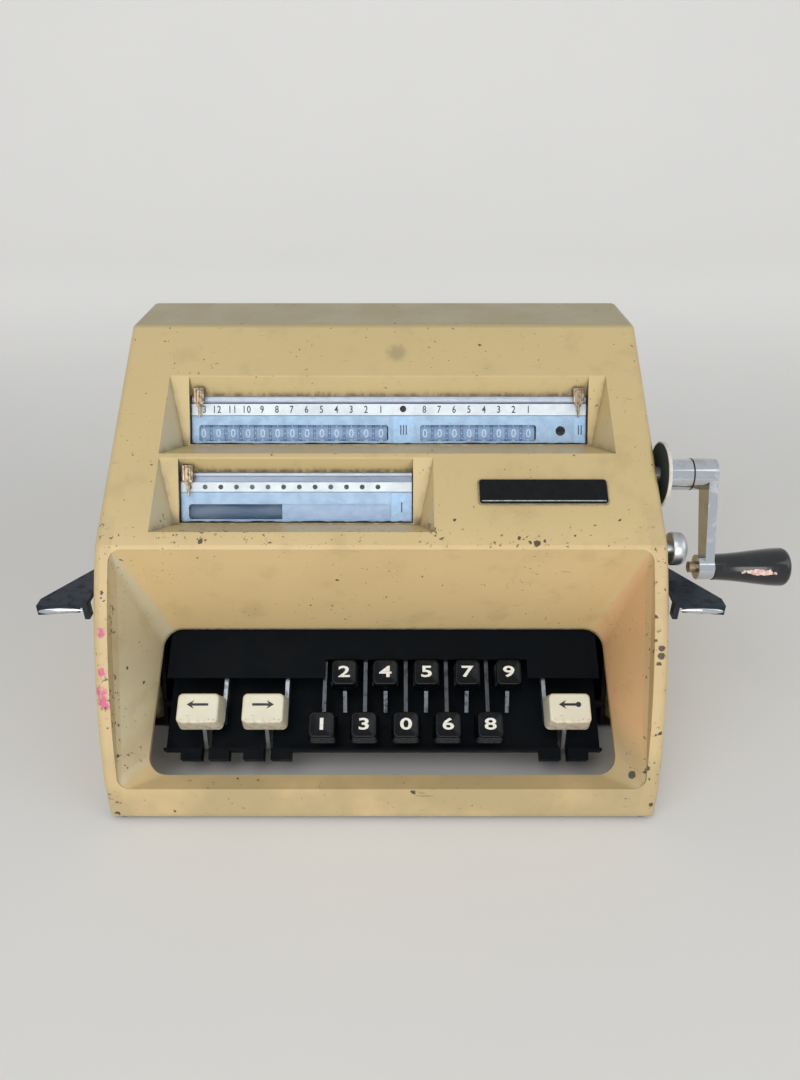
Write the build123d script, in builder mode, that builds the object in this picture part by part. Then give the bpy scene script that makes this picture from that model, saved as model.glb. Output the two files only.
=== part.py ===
from build123d import *
import os
from math import atan2, cos, degrees, hypot, radians, sin

# Hand-cranked pinwheel calculator with a ten-key keyboard, in millimetres.
# +Z is up, the keyboard faces -Y and +X is the operator's right.
# The origin is on the table, at the middle of the whole machine with its crank at rest.
# Sketches count X from the middle of the case, and save() moves each piece to the origin above.

# --- moulded case -----------------------------------------------------------
foot_height = 3.0
case_width = 275.0
case_depth = 232.0
wall = 2.5
edge_radius = 4.0
ridge_radius = 2.0
bar_height = 17.4
bar_lean = 1.0
front_bulge_back = 22.0
front_bulge_up = 80.0
ridge_back = 51.4
ridge_up = 128.2
panel_angle = 33.9
panel_length = 133.0
roof_depth = 43.7
shoulder_drop = 36.0
shoulder_inset = 7.0

# --- bevelled surround of the keyboard --------------------------------------
cheek_width = 7.5
ridge_land = 2.0
bar_land = 0.6
opening_width = 237.0
opening_low_back = 11.0
opening_high_back = 74.3
opening_high_up = 61.7
opening_radius = 10.0
surround_radius = 6.0
cut_reach = 12.0

# --- splayed window recesses -------------------------------------------------
recess_angle = 63.0
upper_top = 98.6
upper_lip = 50.8
upper_length = 36.7
upper_left = -112.4
upper_right = 117.6
lower_top = 48.5
lower_lip = 7.0
lower_length = 33.5
lower_left = -112.0
lower_right = 25.6
splay = 7.0
frame_left = -102.4
upper_frame_right = 108.6
lower_frame_right = 15.6
frame_margin = 0.6
frame_depth = 7.0
brow_depth = 5.0
upper_brow = 10.2
lower_brow = 7.3

# --- glazing and marked strips, measured down the recess and into it ---------
glass_clearance = 0.2
glass_depth = 2.4
glass_thickness = 1.2
strip_depth = 4.0
strip_thickness = 1.0
scale_start = 14.4
scale_height = 6.1
bar_start = 12.4
bar_strip_height = 4.8
strip_gap = 0.3
number_start = 25.6
number_height = 8.6
slot_start = 23.5
slot_height = 7.7
slot_right = 4.4
shutter_left = -51.0
dot_x = 94.8
dot_down = 28.8
dot_radius = 2.6
pointer_depth = 0.9
pointer_thickness = 1.1
pointer_width = 8.0
pointer_head = 7.4
pointer_tip = 2.4
pointer_spike = 9.0
upper_pointer_down = 6.2
lower_pointer_down = 3.8
upper_left_pointer_x = -97.4
upper_right_pointer_x = 103.6
lower_pointer_x = -97.8

# --- registers ---------------------------------------------------------------
digit_pitch = 7.93
result_digits = 13
result_first_x = -96.4
counter_digits = 8
counter_first_x = 22.4
wheel_radius = 9.0
wheel_width = 6.4
wheel_gap = 0.6
drum_radius = 8.0

# --- nameplate ----------------------------------------------------------------
plate_x = 79.3
plate_up_panel = 28.7
plate_width = 62.6
plate_height = 13.0
plate_thickness = 1.2

# --- keyboard -----------------------------------------------------------------
key_pitch = 21.6
upper_row_x = 22.9
upper_row_up = 51.6
lower_row_up = 24.3
cap_base = 15.5
cap_top = 13.0
cap_low = -5.0
cap_high = 5.0
cap_round = 1.5
function_width = 23.4
function_depth = 17.5
function_high = 7.0
function_up = 31.5
left_function_inset = 21.8
second_function_inset = 54.4
right_function_inset = 20.0
lever_thickness = 2.0
lever_height = 5.0
lever_offset_x = 9.5
lever_end = 4.0
key_axis_up = 110.0
key_axis_drop = -8.5
cap_clearance = 1.2
cover_high = 84.0
cover_side_low = 50.4
cover_drop = -2.9
cover_thickness = 1.2
bed_low = 14.0
bed_high = 72.0
bed_drop = -17.0
bed_thickness = 1.5
bed_rim = 5.0
key_floor_width = 230.0
finger_width = 2.4
function_finger_up = 15.5
function_finger_drop = -15.5
digit_finger_up = 34.0
digit_finger_drop = -12.4
slot_clearance = 0.9
guide_width = 25.0
guide_depth = 4.5
guide_drop = -19.5

# --- frame and shafts ----------------------------------------------------------
plate_gauge = 2.0
side_plate_x = 124.0
rod_radius = 3.0
shaft_clearance = 0.06
base_gauge = 1.5
base_front = 64.0
fit_gap = 0.3
skin = 0.01
rod_inset = 6.0
plate_rear_inset = 14.0
rear_rod_up = 150.0
roof_rod_back = 160.0
roof_rod_up = 184.0
foot_radius = 7.0
corner_foot_radius = 4.5
screw_radius = 1.5
screw_head_radius = 3.0
screw_length = 12.0
boss_radius = 4.5
boss_height = 22.0

# --- crank and gear train --------------------------------------------------------
crank_back = 94.9
crank_up = 144.4
gear_module = 1.0
pinion_teeth = 14
idler_teeth = 56
gear_width = 3.5
gear_x = 127.0
train_angle = -45.8
tooth_share = 0.38
addendum = 0.85
dedendum = 1.15
tooth_root_share = 1.5
tooth_tip_share = 0.55
shaft_radius = 4.0
hole_clearance = 0.6
disc_gap = 4.0
disc_thickness = 1.6
disc_radius = 16.6
sleeve_radius = 8.1
sleeve_length = 14.0
hub_length = 12.3
crank_radius = 47.8
crank_lean = 26.0
arm_thickness = 4.6
arm_root_width = 15.0
arm_tip_width = 10.4
grip_length = 38.0
grip_small_radius = 6.8
grip_large_radius = 9.9
grip_gap = 0.4
grip_bore = 3.0
grip_depth = 0.9
boss_inset = 3.2
grip_boss_radius = 6.4
pin_head_radius = 2.9
pin_head_length = 7.0

# --- pinwheel rotor -----------------------------------------------------------------
rotor_radius = 25.0
rotor_web = 4.6
rotor_core = 9.0
setting_pins = 9
setting_pin_radius = 1.2
setting_pin_height = 3.0
setting_pin_step = 18.0
setting_pin_start = 90.0
setting_pin_half = 1.0

# --- side controls ---------------------------------------------------------------------
knob_back = 63.4
knob_up = 119.0
knob_radius = 8.3
knob_length = 12.2
knob_dome = 3.0
knob_travel = 4.0
wing_back = 72.0
wing_up = 104.0
wing_hub_radius = 6.0
wing_hub_length = 4.0
wing_tip_reach = 25.5
wing_thickness = 2.4
wing_lip = 4.0
wing_root_back = 36.0
wing_rear_sweep = 4.0
wing_front_sweep = 2.0
wing_tab_drop = 8.0
wing_tab_width = 2.4

front = -case_depth / 2


def side(back, up):
    """A side-view point, from its distance behind the front edge and above the case's bottom."""
    return (front + back, foot_height + up)


def along(point, angle, distance):
    """The side-view point at a distance from another one, at an angle above the level."""
    return (point[0] + distance * cos(radians(angle)), point[1] + distance * sin(radians(angle)))


def slope_plane(point, angle, lift=0.0):
    """A plane that rises to the rear at an angle, with its normal up and forwards."""
    normal = (0, -sin(radians(angle)), cos(radians(angle)))
    return Plane(origin=(0, *point), x_dir=(1, 0, 0), z_dir=normal).offset(lift)


def middle(a, b):
    """The point halfway between two side-view points."""
    return ((a[0] + b[0]) / 2, (a[1] + b[1]) / 2)


def span_of(a, b):
    """The angle and the length of the line between two side-view points."""
    return degrees(atan2(b[1] - a[1], b[0] - a[0])), hypot(b[0] - a[0], b[1] - a[1])


def save(builder, name):
    """Label one finished piece and write it, with the middle of the whole machine at X = 0."""
    piece = builder.part.moved(Location((-machine_middle, 0, 0)))
    piece.label = name
    export_step(piece, f"parts/{name}.step")


os.makedirs("parts", exist_ok=True)

# Corners of the case in side view
bottom_front = side(0, 0)
bar_top = side(bar_lean, bar_height)
ridge = side(ridge_back, ridge_up)
crease = along(ridge, panel_angle, panel_length)
roof_rear = along(crease, 0, roof_depth)
shoulder = (-front - shoulder_inset, roof_rear[1] - shoulder_drop)
bottom_rear = side(case_depth, 0)

# Keyboard plane, from the front bar to the top of the opening
opening_low = side(opening_low_back, bar_height)
opening_high = side(opening_high_back, opening_high_up)
key_angle, opening_height = span_of(opening_low, opening_high)
chord_angle, chord_length = span_of(bar_top, ridge)


def on_keys(up, lift):
    """A side-view point up the keyboard slope and above the keyboard plane."""
    return along(along(opening_low, key_angle, up), key_angle + 90, lift)


def in_recess(top, down, depth):
    """A side-view point down the back plane of a window recess and behind it."""
    return along(along(top, recess_angle + 180, down), recess_angle - 90, depth)


upper_edge = along(ridge, panel_angle, upper_top)
lower_edge = along(ridge, panel_angle, lower_top)
crank_axis = side(crank_back, crank_up)
disc_x = case_width / 2 + disc_gap
sleeve_x = disc_x + disc_thickness
hub_x = sleeve_x + sleeve_length
arm_x = hub_x + hub_length - arm_thickness
arm_angle = -90 - crank_lean
grip_axis = along(crank_axis, arm_angle, crank_radius)
grip_x = arm_x + arm_thickness + grip_gap
machine_middle = (grip_x + grip_length - case_width / 2 - wing_tip_reach) / 2
knob_axis = side(knob_back, knob_up)
wing_axis = side(wing_back, wing_up)
key_axis = on_keys(key_axis_up, key_axis_drop)
pinion_radius = gear_module * pinion_teeth / 2
idler_radius = gear_module * idler_teeth / 2
idler_axis = along(crank_axis, train_angle, pinion_radius + idler_radius)
rotor_axis = along(idler_axis, train_angle, pinion_radius + idler_radius)
number_middle = number_start + number_height / 2
slot_middle = slot_start + slot_height / 2
strip_back = strip_depth + strip_thickness
wheel_axis = in_recess(upper_edge, number_middle, strip_back + wheel_gap + wheel_radius)
drum_axis = in_recess(lower_edge, slot_middle, strip_back + strip_thickness + wheel_gap + drum_radius)

# --- housing ---------------------------------------------------------------------
with BuildSketch(Plane.YZ) as side_profile:
    with BuildLine():
        Polyline(shoulder, bottom_rear, bottom_front, bar_top)
        ThreePointArc(bar_top, side(front_bulge_back, front_bulge_up), ridge)
        Polyline(ridge, crease, roof_rear, shoulder)
    make_face()

with BuildPart() as envelope:
    with BuildSketch(Plane.YZ.offset(-case_width / 2)):
        add(side_profile.sketch_local)
    extrude(amount=case_width)
    long_edges = envelope.edges().filter_by(Axis.X).filter_by(lambda e: e.center().Z > foot_height + bar_height / 2)
    fillet(long_edges, radius=ridge_radius)
    flanks = envelope.faces().filter_by(Axis.X).sort_by(Axis.X)
    flank_edges = flanks[0].edges() + flanks[-1].edges()
    fillet([e for e in flank_edges if e.center().Z > foot_height + wall], radius=edge_radius)


def surround(grow, sink, reach):
    """The bevelled space in front of the keyboard, grown by a wall on each side."""
    tall = chord_length - ridge_land - bar_land
    centre = along(middle(bar_top, ridge), chord_angle, (bar_land - ridge_land) / 2)
    mouth = slope_plane(centre, chord_angle)
    throat = slope_plane(middle(opening_low, opening_high), key_angle, -sink)
    wide = case_width - 2 * cheek_width
    with BuildPart() as space:
        with BuildSketch(mouth):
            RectangleRounded(wide + 2 * grow, tall + 2 * grow, surround_radius)
        with BuildSketch(throat):
            RectangleRounded(opening_width + 2 * grow, opening_height + 2 * grow, opening_radius)
        loft(ruled=True)
        with BuildSketch(mouth):
            RectangleRounded(wide + 2 * grow, tall + 2 * grow, surround_radius)
        extrude(amount=cut_reach)
        with BuildSketch(throat):
            RectangleRounded(opening_width + 2 * grow, opening_height + 2 * grow, opening_radius)
        extrude(amount=-reach)
    return space.part


def pocket(top, length, lip_up, left, right, grow):
    """A window recess: a wedge behind the panel whose two ends splay outwards."""
    deep = in_recess(top, length, 0)
    lip = along(ridge, panel_angle, lip_up)
    depth = length * sin(radians(recess_angle - panel_angle))
    reach = depth + 2 * wall
    inset = splay * reach / depth
    across = Plane(origin=(0, *lip), x_dir=(1, 0, 0), z_dir=(0, cos(radians(panel_angle)), sin(radians(panel_angle))))
    with BuildPart() as wedge:
        with BuildSketch(Plane.YZ.offset(left - wall - grow)):
            outer_top = along(top, panel_angle + 90, wall)
            outer_lip = along(lip, panel_angle + 90, wall)
            Polygon(outer_top, top, deep, lip, outer_lip, align=None)
            if grow:
                offset(amount=grow, kind=Kind.INTERSECTION)
        extrude(amount=right - left + 2 * (wall + grow))
        with BuildSketch(across):
            Polygon((left, -2 * wall), (left, 0), (left + inset, reach), (right - inset, reach), (right, 0),
                    (right, -2 * wall), align=None)
            if grow:
                offset(amount=grow, kind=Kind.INTERSECTION)
        extrude(amount=case_depth, both=True, mode=Mode.INTERSECT)
    return wedge.part


def window_frame(top, length, brow, right):
    """The thick frame behind a recess and the opening through it, with its sloping brow."""
    end = length - frame_margin
    with BuildPart() as frame:
        with BuildSketch(Plane.YZ.offset(frame_left - wall)):
            Polygon(in_recess(top, -wall, 0), in_recess(top, length + wall, 0),
                    in_recess(top, length + wall, frame_depth), in_recess(top, -wall, frame_depth), align=None)
        extrude(amount=right - frame_left + 2 * wall)
    with BuildPart() as opening:
        with BuildSketch(Plane.YZ.offset(frame_left)):
            Polygon(in_recess(top, frame_margin, 0), in_recess(top, frame_margin, -wall), in_recess(top, end, -wall),
                    in_recess(top, end, frame_depth + wall), in_recess(top, brow, frame_depth + wall),
                    in_recess(top, brow, brow_depth), align=None)
        extrude(amount=right - frame_left)
    return frame.part, opening.part


upper_frame, upper_opening = window_frame(upper_edge, upper_length, upper_brow, upper_frame_right)
lower_frame, lower_opening = window_frame(lower_edge, lower_length, lower_brow, lower_frame_right)
pockets = [
    (upper_edge, upper_length, upper_lip, upper_left, upper_right),
    (lower_edge, lower_length, lower_lip, lower_left, lower_right),
]

with BuildPart() as hollow:
    with BuildSketch(Plane.YZ.offset(-case_width / 2 + wall)):
        add(side_profile.sketch_local)
        offset(amount=-wall, kind=Kind.INTERSECTION)
    extrude(amount=case_width - 2 * wall)
    with BuildSketch(Plane.XY.offset(foot_height)):
        Rectangle(case_width - 2 * wall, case_depth - 2 * wall)
    extrude(amount=2 * wall)
    add(surround(wall, wall, skin), mode=Mode.SUBTRACT)
    for place in pockets:
        add(pocket(*place, wall), mode=Mode.SUBTRACT)
    add(upper_frame, mode=Mode.SUBTRACT)
    add(lower_frame, mode=Mode.SUBTRACT)

boss_x = case_width / 2 - wall - boss_radius + fit_gap
boss_rows = [front + base_front + 2 * boss_radius, -front - wall - 2 * boss_radius]
corner_foot_x = case_width / 2 - wall - corner_foot_radius + fit_gap
corner_foot_y = front + wall + corner_foot_radius - fit_gap

with BuildPart() as housing:
    add(envelope.part)
    add(hollow.part, mode=Mode.SUBTRACT)
    add(surround(0, 0, 3 * wall), mode=Mode.SUBTRACT)
    for place in pockets:
        add(pocket(*place, 0), mode=Mode.SUBTRACT)
    add(upper_opening, mode=Mode.SUBTRACT)
    add(lower_opening, mode=Mode.SUBTRACT)
    with BuildSketch(Plane.XY.offset(foot_height + base_gauge)):
        with Locations(*[(s * boss_x, y) for s in (-1, 1) for y in boss_rows]):
            Circle(boss_radius)
    extrude(amount=boss_height)
    with BuildSketch(Plane.XY.offset(foot_height + base_gauge)):
        with Locations(*[(s * boss_x, y) for s in (-1, 1) for y in boss_rows]):
            Circle(screw_radius)
    extrude(amount=screw_length, mode=Mode.SUBTRACT)
    with BuildSketch(Plane.XY.offset(foot_height)):
        with Locations(*[(s * corner_foot_x, corner_foot_y) for s in (-1, 1)]):
            Circle(corner_foot_radius)
    extrude(amount=bar_height - wall)
    with BuildSketch(Plane.YZ.offset(case_width / 2 - 2 * wall)):
        with Locations(crank_axis):
            Circle(shaft_radius + hole_clearance)
        with Locations(knob_axis, wing_axis):
            Circle(rod_radius + hole_clearance)
    extrude(amount=3 * wall, mode=Mode.SUBTRACT)
    with BuildSketch(Plane.YZ.offset(-case_width / 2 - wall)):
        with Locations(wing_axis):
            Circle(rod_radius + hole_clearance)
    extrude(amount=3 * wall, mode=Mode.SUBTRACT)
save(housing, "housing")

# --- base plate, feet and screws --------------------------------------------------
base_width = case_width - 2 * (wall + fit_gap)
base_rear = -front - wall - fit_gap
base_middle = (front + base_front + base_rear) / 2
rear_foot_x = side_plate_x - 2 * foot_radius
rear_foot_y = base_rear - 2 * foot_radius

with BuildPart() as base_plate:
    with BuildSketch(Plane.XY.offset(foot_height)):
        with Locations((0, base_middle)):
            Rectangle(base_width, base_rear - front - base_front)
        with Locations(*[(s * boss_x, y) for s in (-1, 1) for y in boss_rows]):
            Circle(screw_radius + fit_gap, mode=Mode.SUBTRACT)
    extrude(amount=base_gauge)
save(base_plate, "base_plate")

with BuildPart() as feet:
    with BuildSketch(Plane.XY):
        with Locations((-rear_foot_x, rear_foot_y), (rear_foot_x, rear_foot_y)):
            Circle(foot_radius)
        with Locations((-corner_foot_x, corner_foot_y), (corner_foot_x, corner_foot_y)):
            Circle(corner_foot_radius)
    extrude(amount=foot_height)
save(feet, "feet")

with BuildPart() as case_screws:
    with BuildSketch(Plane.XY.offset(foot_height)):
        with Locations(*[(s * boss_x, y) for s in (-1, 1) for y in boss_rows]):
            Circle(screw_head_radius)
    extrude(amount=-base_gauge)
    with BuildSketch(Plane.XY.offset(foot_height)):
        with Locations(*[(s * boss_x, y) for s in (-1, 1) for y in boss_rows]):
            Circle(screw_radius)
    extrude(amount=screw_length)
save(case_screws, "case_screws")

# --- nameplate -----------------------------------------------------------------------
with BuildPart() as nameplate:
    with BuildSketch(slope_plane(along(ridge, panel_angle, plate_up_panel), panel_angle)):
        with Locations((plate_x, 0)):
            RectangleRounded(plate_width, plate_height, cap_round)
    extrude(amount=plate_thickness)
save(nameplate, "nameplate")


# --- windows, masks and strips ----------------------------------------------------------
def sheet(top, left, right, start, end, depth, thickness, holes=(), rounds=()):
    """A flat sheet behind the recess, with rectangular holes and round ones."""
    plane = slope_plane(in_recess(top, 0, depth), recess_angle)
    with BuildPart() as part:
        with BuildSketch(plane):
            with Locations(((left + right) / 2, -(start + end) / 2)):
                Rectangle(right - left, end - start)
            for hole_left, hole_right, hole_start, hole_end in holes:
                with Locations(((hole_left + hole_right) / 2, -(hole_start + hole_end) / 2)):
                    RectangleRounded(hole_right - hole_left, hole_end - hole_start, cap_round, mode=Mode.SUBTRACT)
            for x, down, radius in rounds:
                with Locations((x, -down)):
                    Circle(radius, mode=Mode.SUBTRACT)
        extrude(amount=-thickness)
    return part


pane_left = frame_left + glass_clearance
upper_pane_right = upper_frame_right - glass_clearance
lower_pane_right = lower_frame_right - glass_clearance
upper_end = upper_length - frame_margin - glass_clearance
lower_end = lower_length - frame_margin - glass_clearance
result_left = result_first_x - digit_pitch / 4
result_right = result_first_x + (result_digits - 1) * digit_pitch + digit_pitch / 2
counter_left = counter_first_x - digit_pitch / 3
counter_right = counter_first_x + (counter_digits - 1) * digit_pitch + digit_pitch / 2
number_end = number_start + number_height
mask_start = scale_start + scale_height + strip_gap
lower_mask_start = bar_start + bar_strip_height + strip_gap

save(sheet(upper_edge, pane_left, upper_pane_right, upper_brow + glass_clearance, upper_end, glass_depth,
           glass_thickness), "upper_window")
save(sheet(lower_edge, pane_left, lower_pane_right, lower_brow + glass_clearance, lower_end, glass_depth,
           glass_thickness), "lower_window")
save(sheet(upper_edge, pane_left, upper_pane_right, scale_start, scale_start + scale_height, strip_depth,
           strip_thickness), "upper_scale")
save(sheet(lower_edge, pane_left, lower_pane_right, bar_start, bar_start + bar_strip_height, strip_depth,
           strip_thickness), "dot_bar")
save(sheet(upper_edge, pane_left, upper_pane_right, mask_start, upper_end, strip_depth, strip_thickness,
           [(result_left, result_right, number_start, number_end),
            (counter_left, counter_right, number_start, number_end)],
           [(dot_x, dot_down, dot_radius)]), "upper_mask")
save(sheet(lower_edge, pane_left, lower_pane_right, lower_mask_start, lower_end, strip_depth, strip_thickness,
           [(result_left, slot_right, slot_start, slot_start + slot_height)]), "lower_mask")
save(sheet(lower_edge, shutter_left, slot_right + cap_round, slot_start - cap_round,
           slot_start + slot_height + cap_round / 2, strip_back, strip_thickness), "shutter")


def pointer(top, x, down):
    """A decimal pointer: a flat clip with a narrow spike that points down at the scale."""
    with BuildPart() as part:
        with BuildSketch(slope_plane(in_recess(top, down, pointer_depth), recess_angle)):
            half = pointer_width / 2
            tip = pointer_tip / 2
            Polygon((x - half, 0), (x + half, 0), (x + half, -pointer_head), (x + tip, -pointer_head),
                    (x + tip / 2, -pointer_head - pointer_spike), (x - tip / 2, -pointer_head - pointer_spike),
                    (x - tip, -pointer_head), (x - half, -pointer_head), align=None)
        extrude(amount=-pointer_thickness)
    return part


save(pointer(upper_edge, upper_left_pointer_x, upper_pointer_down), "upper_left_pointer")
save(pointer(upper_edge, upper_right_pointer_x, upper_pointer_down), "upper_right_pointer")
save(pointer(lower_edge, lower_pointer_x, lower_pointer_down), "lower_pointer")

# --- black cover and bed of the keyboard ----------------------------------------------------
left_function_x = -key_floor_width / 2 + left_function_inset
second_function_x = -key_floor_width / 2 + second_function_inset
right_function_x = key_floor_width / 2 - right_function_inset
function_keys = {
    "left": (left_function_x, lever_offset_x),
    "second": (second_function_x, lever_offset_x),
    "right": (right_function_x, -lever_offset_x),
}
cover_low = upper_row_up + cap_base / 2 + cap_clearance

with BuildPart() as key_cover:
    with BuildSketch(slope_plane(opening_low, key_angle, cover_drop)):
        with Locations((0, (cover_side_low + cover_high) / 2)):
            Rectangle(key_floor_width, cover_high - cover_side_low)
        with Locations((upper_row_x, (cover_side_low + cover_low) / 2)):
            Rectangle(5 * key_pitch, cover_low - cover_side_low, mode=Mode.SUBTRACT)
    extrude(amount=-cover_thickness)
save(key_cover, "key_cover")

with BuildPart() as key_bed:
    with BuildSketch(Plane.YZ.offset(-key_floor_width / 2)):
        Polygon(on_keys(bed_low, bed_drop + bed_rim), on_keys(bed_low, bed_drop - bed_thickness),
                on_keys(bed_high, bed_drop - bed_thickness), on_keys(bed_high, bed_drop),
                on_keys(bed_low + bed_thickness, bed_drop), on_keys(bed_low + bed_thickness, bed_drop + bed_rim),
                align=None)
    extrude(amount=key_floor_width)
    for key_x, _ in function_keys.values():
        with BuildSketch(Plane.YZ.offset(key_x - guide_width / 2)):
            Polygon(on_keys(bed_low - guide_depth, bed_drop + bed_rim), on_keys(bed_low - guide_depth, guide_drop),
                    on_keys(bed_low + bed_thickness, guide_drop),
                    on_keys(bed_low + bed_thickness, bed_drop + bed_rim), align=None)
        extrude(amount=guide_width)
    with BuildSketch(slope_plane(opening_low, key_angle, guide_drop - slot_clearance)):
        with Locations(*[(key_x, bed_low + guide_depth) for key_x, _ in function_keys.values()]):
            Rectangle(lever_thickness + 2 * slot_clearance, 4 * guide_depth)
    extrude(amount=bed_rim - guide_drop, mode=Mode.SUBTRACT)
save(key_bed, "key_bed")


# --- keys -------------------------------------------------------------------------------------
def key_cap(x, up, wide, deep, low, high):
    """A key cap that narrows upwards, with a rounded top edge."""
    taper = cap_base - cap_top
    with BuildPart() as cap:
        with BuildSketch(slope_plane(opening_low, key_angle, low)):
            with Locations((x, up)):
                RectangleRounded(wide, deep, 2 * cap_round)
        with BuildSketch(slope_plane(opening_low, key_angle, high)):
            with Locations((x, up)):
                RectangleRounded(wide - taper, deep - taper, cap_round)
        loft(ruled=True)
    return cap


def key_lever(x, up, shift=0.0, finger=None):
    """A flat steel lever on the key shaft: its arm, the tab under its cap and, on some keys, a finger in front."""
    reach = up - lever_end
    low = key_axis_drop - lever_height / 2
    high = key_axis_drop + lever_height / 2
    with BuildPart() as lever:
        with BuildSketch(Plane.YZ.offset(x + shift - lever_thickness / 2)):
            Polygon(on_keys(reach, low), on_keys(key_axis_up, low), on_keys(key_axis_up, high),
                    on_keys(up + lever_end, high), on_keys(up + lever_end, cap_low), on_keys(reach, cap_low),
                    align=None)
            with Locations(key_axis):
                Circle(2 * rod_radius)
                Circle(rod_radius + shaft_clearance, mode=Mode.SUBTRACT)
        extrude(amount=lever_thickness)
        if shift:
            with BuildSketch(slope_plane(opening_low, key_angle, cap_low)):
                with Locations((x + shift / 2, up)):
                    Rectangle(abs(shift) + lever_thickness, 2 * lever_end)
            extrude(amount=-lever_thickness)
        if finger:
            with BuildSketch(Plane.YZ.offset(x - lever_thickness / 2)):
                Polygon(on_keys(reach + finger_width, cap_low), on_keys(reach - finger_width, cap_low),
                        on_keys(*finger), on_keys(finger[0] + finger_width, finger[1]),
                        on_keys(reach + finger_width, high - lever_thickness), align=None)
            extrude(amount=lever_thickness)
    return lever


row_digits = {upper_row_up: [2, 4, 5, 7, 9], lower_row_up: [1, 3, 0, 6, 8]}
row_middles = {upper_row_up: upper_row_x, lower_row_up: upper_row_x - key_pitch / 2}
row_fingers = {upper_row_up: (digit_finger_up, digit_finger_drop), lower_row_up: None}
for row_up, digits in row_digits.items():
    for column, digit in enumerate(digits):
        key_x = row_middles[row_up] + (column - 2) * key_pitch
        save(key_cap(key_x, row_up, cap_base, cap_base, cap_low, cap_high), f"digit_cap_{digit}")
        save(key_lever(key_x, row_up, finger=row_fingers[row_up]), f"digit_lever_{digit}")

for name, (key_x, shift) in function_keys.items():
    save(key_cap(key_x, function_up, function_width, function_depth, cap_low, function_high), f"{name}_function_cap")
    save(key_lever(key_x, function_up, shift, (function_finger_up, function_finger_drop)), f"{name}_function_lever")

# --- side plates and cross rods ----------------------------------------------------------------
plate_rear = case_depth - plate_rear_inset
rear_rod_back = plate_rear - rod_inset - rod_radius
plate_outline = [
    side(base_front, base_gauge), side(plate_rear, base_gauge), side(plate_rear, rear_rod_up + rod_inset),
    side(roof_rod_back + rod_inset, roof_rod_up + rod_inset), side(roof_rod_back - 2 * rod_inset, roof_rod_up),
    along(along(ridge, panel_angle, 41.0), panel_angle - 90, 5.9), side(57.5, 118.0), side(60.4, 110.0),
    side(66.5, 102.0), side(68.0, 92.0), side(86.0, 60.0),
]
rod_places = [
    side(base_front + rod_inset, 2 * rod_inset), side(rear_rod_back, 2 * rod_inset), side(rear_rod_back, rear_rod_up),
    side(roof_rod_back, roof_rod_up - rod_inset / 2), key_axis, wheel_axis,
]
inner_span = 2 * side_plate_x - plate_gauge

with BuildPart() as side_plates:
    for x in (-side_plate_x, side_plate_x):
        with BuildSketch(Plane.YZ.offset(x - plate_gauge / 2)):
            Polygon(*plate_outline, align=None)
            with Locations(*rod_places[:4]):
                Circle(rod_radius, mode=Mode.SUBTRACT)
            with Locations(key_axis, wheel_axis, drum_axis, wing_axis, knob_axis):
                Circle(rod_radius + shaft_clearance, mode=Mode.SUBTRACT)
            with Locations(crank_axis, rotor_axis):
                Circle(shaft_radius + shaft_clearance, mode=Mode.SUBTRACT)
        extrude(amount=plate_gauge)
    with BuildSketch(Plane.YZ.offset(side_plate_x + plate_gauge / 2)):
        with Locations(idler_axis):
            Circle(rod_radius)
    extrude(amount=gear_x - side_plate_x - plate_gauge / 2 + gear_width)
save(side_plates, "side_plates")

with BuildPart() as cross_rods:
    with BuildSketch(Plane.YZ.offset(-side_plate_x - plate_gauge / 2)):
        with Locations(*rod_places):
            Circle(rod_radius)
    extrude(amount=inner_span + 2 * plate_gauge)
save(cross_rods, "cross_rods")


# --- gear train -----------------------------------------------------------------------------------
def gear_face(axis, teeth, phase):
    """The outline of a spur gear with straight-sided teeth, one of them at the given angle."""
    pitch_radius = gear_module * teeth / 2
    root = pitch_radius - dedendum * gear_module
    tip = pitch_radius + addendum * gear_module
    half_tooth = 180.0 / teeth * tooth_share
    with BuildSketch(Plane.YZ) as face:
        with Locations(axis):
            Circle(root)
        for tooth in range(teeth):
            angle = phase + tooth * 360.0 / teeth
            corners = [(root - gear_module / 2, -tooth_root_share), (tip, -tooth_tip_share), (tip, tooth_tip_share),
                       (root - gear_module / 2, tooth_root_share)]
            Polygon(*[along(axis, angle + share * half_tooth, radius) for radius, share in corners], align=None)
    return face.sketch_local


pinion_phase = train_angle
idler_phase = train_angle + 180 + 180 / idler_teeth
gap_share = ((train_angle - idler_phase) * idler_teeth / 360) % 1
rotor_phase = train_angle + 180 + (gap_share + 0.5) * 360 / pinion_teeth

with BuildPart() as crank_shaft:
    with BuildSketch(Plane.YZ.offset(side_plate_x - 2 * plate_gauge)):
        with Locations(crank_axis):
            Circle(shaft_radius)
    extrude(amount=case_width / 2 + disc_gap + disc_thickness + sleeve_length + hub_length / 2
            - side_plate_x + 2 * plate_gauge)
    with BuildSketch(Plane.YZ.offset(gear_x)):
        add(gear_face(crank_axis, pinion_teeth, pinion_phase))
    extrude(amount=gear_width)
save(crank_shaft, "crank_shaft")

with BuildPart() as idler_gear:
    with BuildSketch(Plane.YZ.offset(gear_x)):
        add(gear_face(idler_axis, idler_teeth, idler_phase))
        with Locations(idler_axis):
            Circle(rod_radius + shaft_clearance, mode=Mode.SUBTRACT)
    extrude(amount=gear_width)
save(idler_gear, "idler_gear")

with BuildPart() as rotor_shaft:
    with BuildSketch(Plane.YZ.offset(-side_plate_x - plate_gauge)):
        with Locations(rotor_axis):
            Circle(shaft_radius)
    extrude(amount=side_plate_x + plate_gauge + gear_x + gear_width)
    with BuildSketch(Plane.YZ.offset(gear_x)):
        add(gear_face(rotor_axis, pinion_teeth, rotor_phase))
    extrude(amount=gear_width)
save(rotor_shaft, "rotor_shaft")

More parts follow.
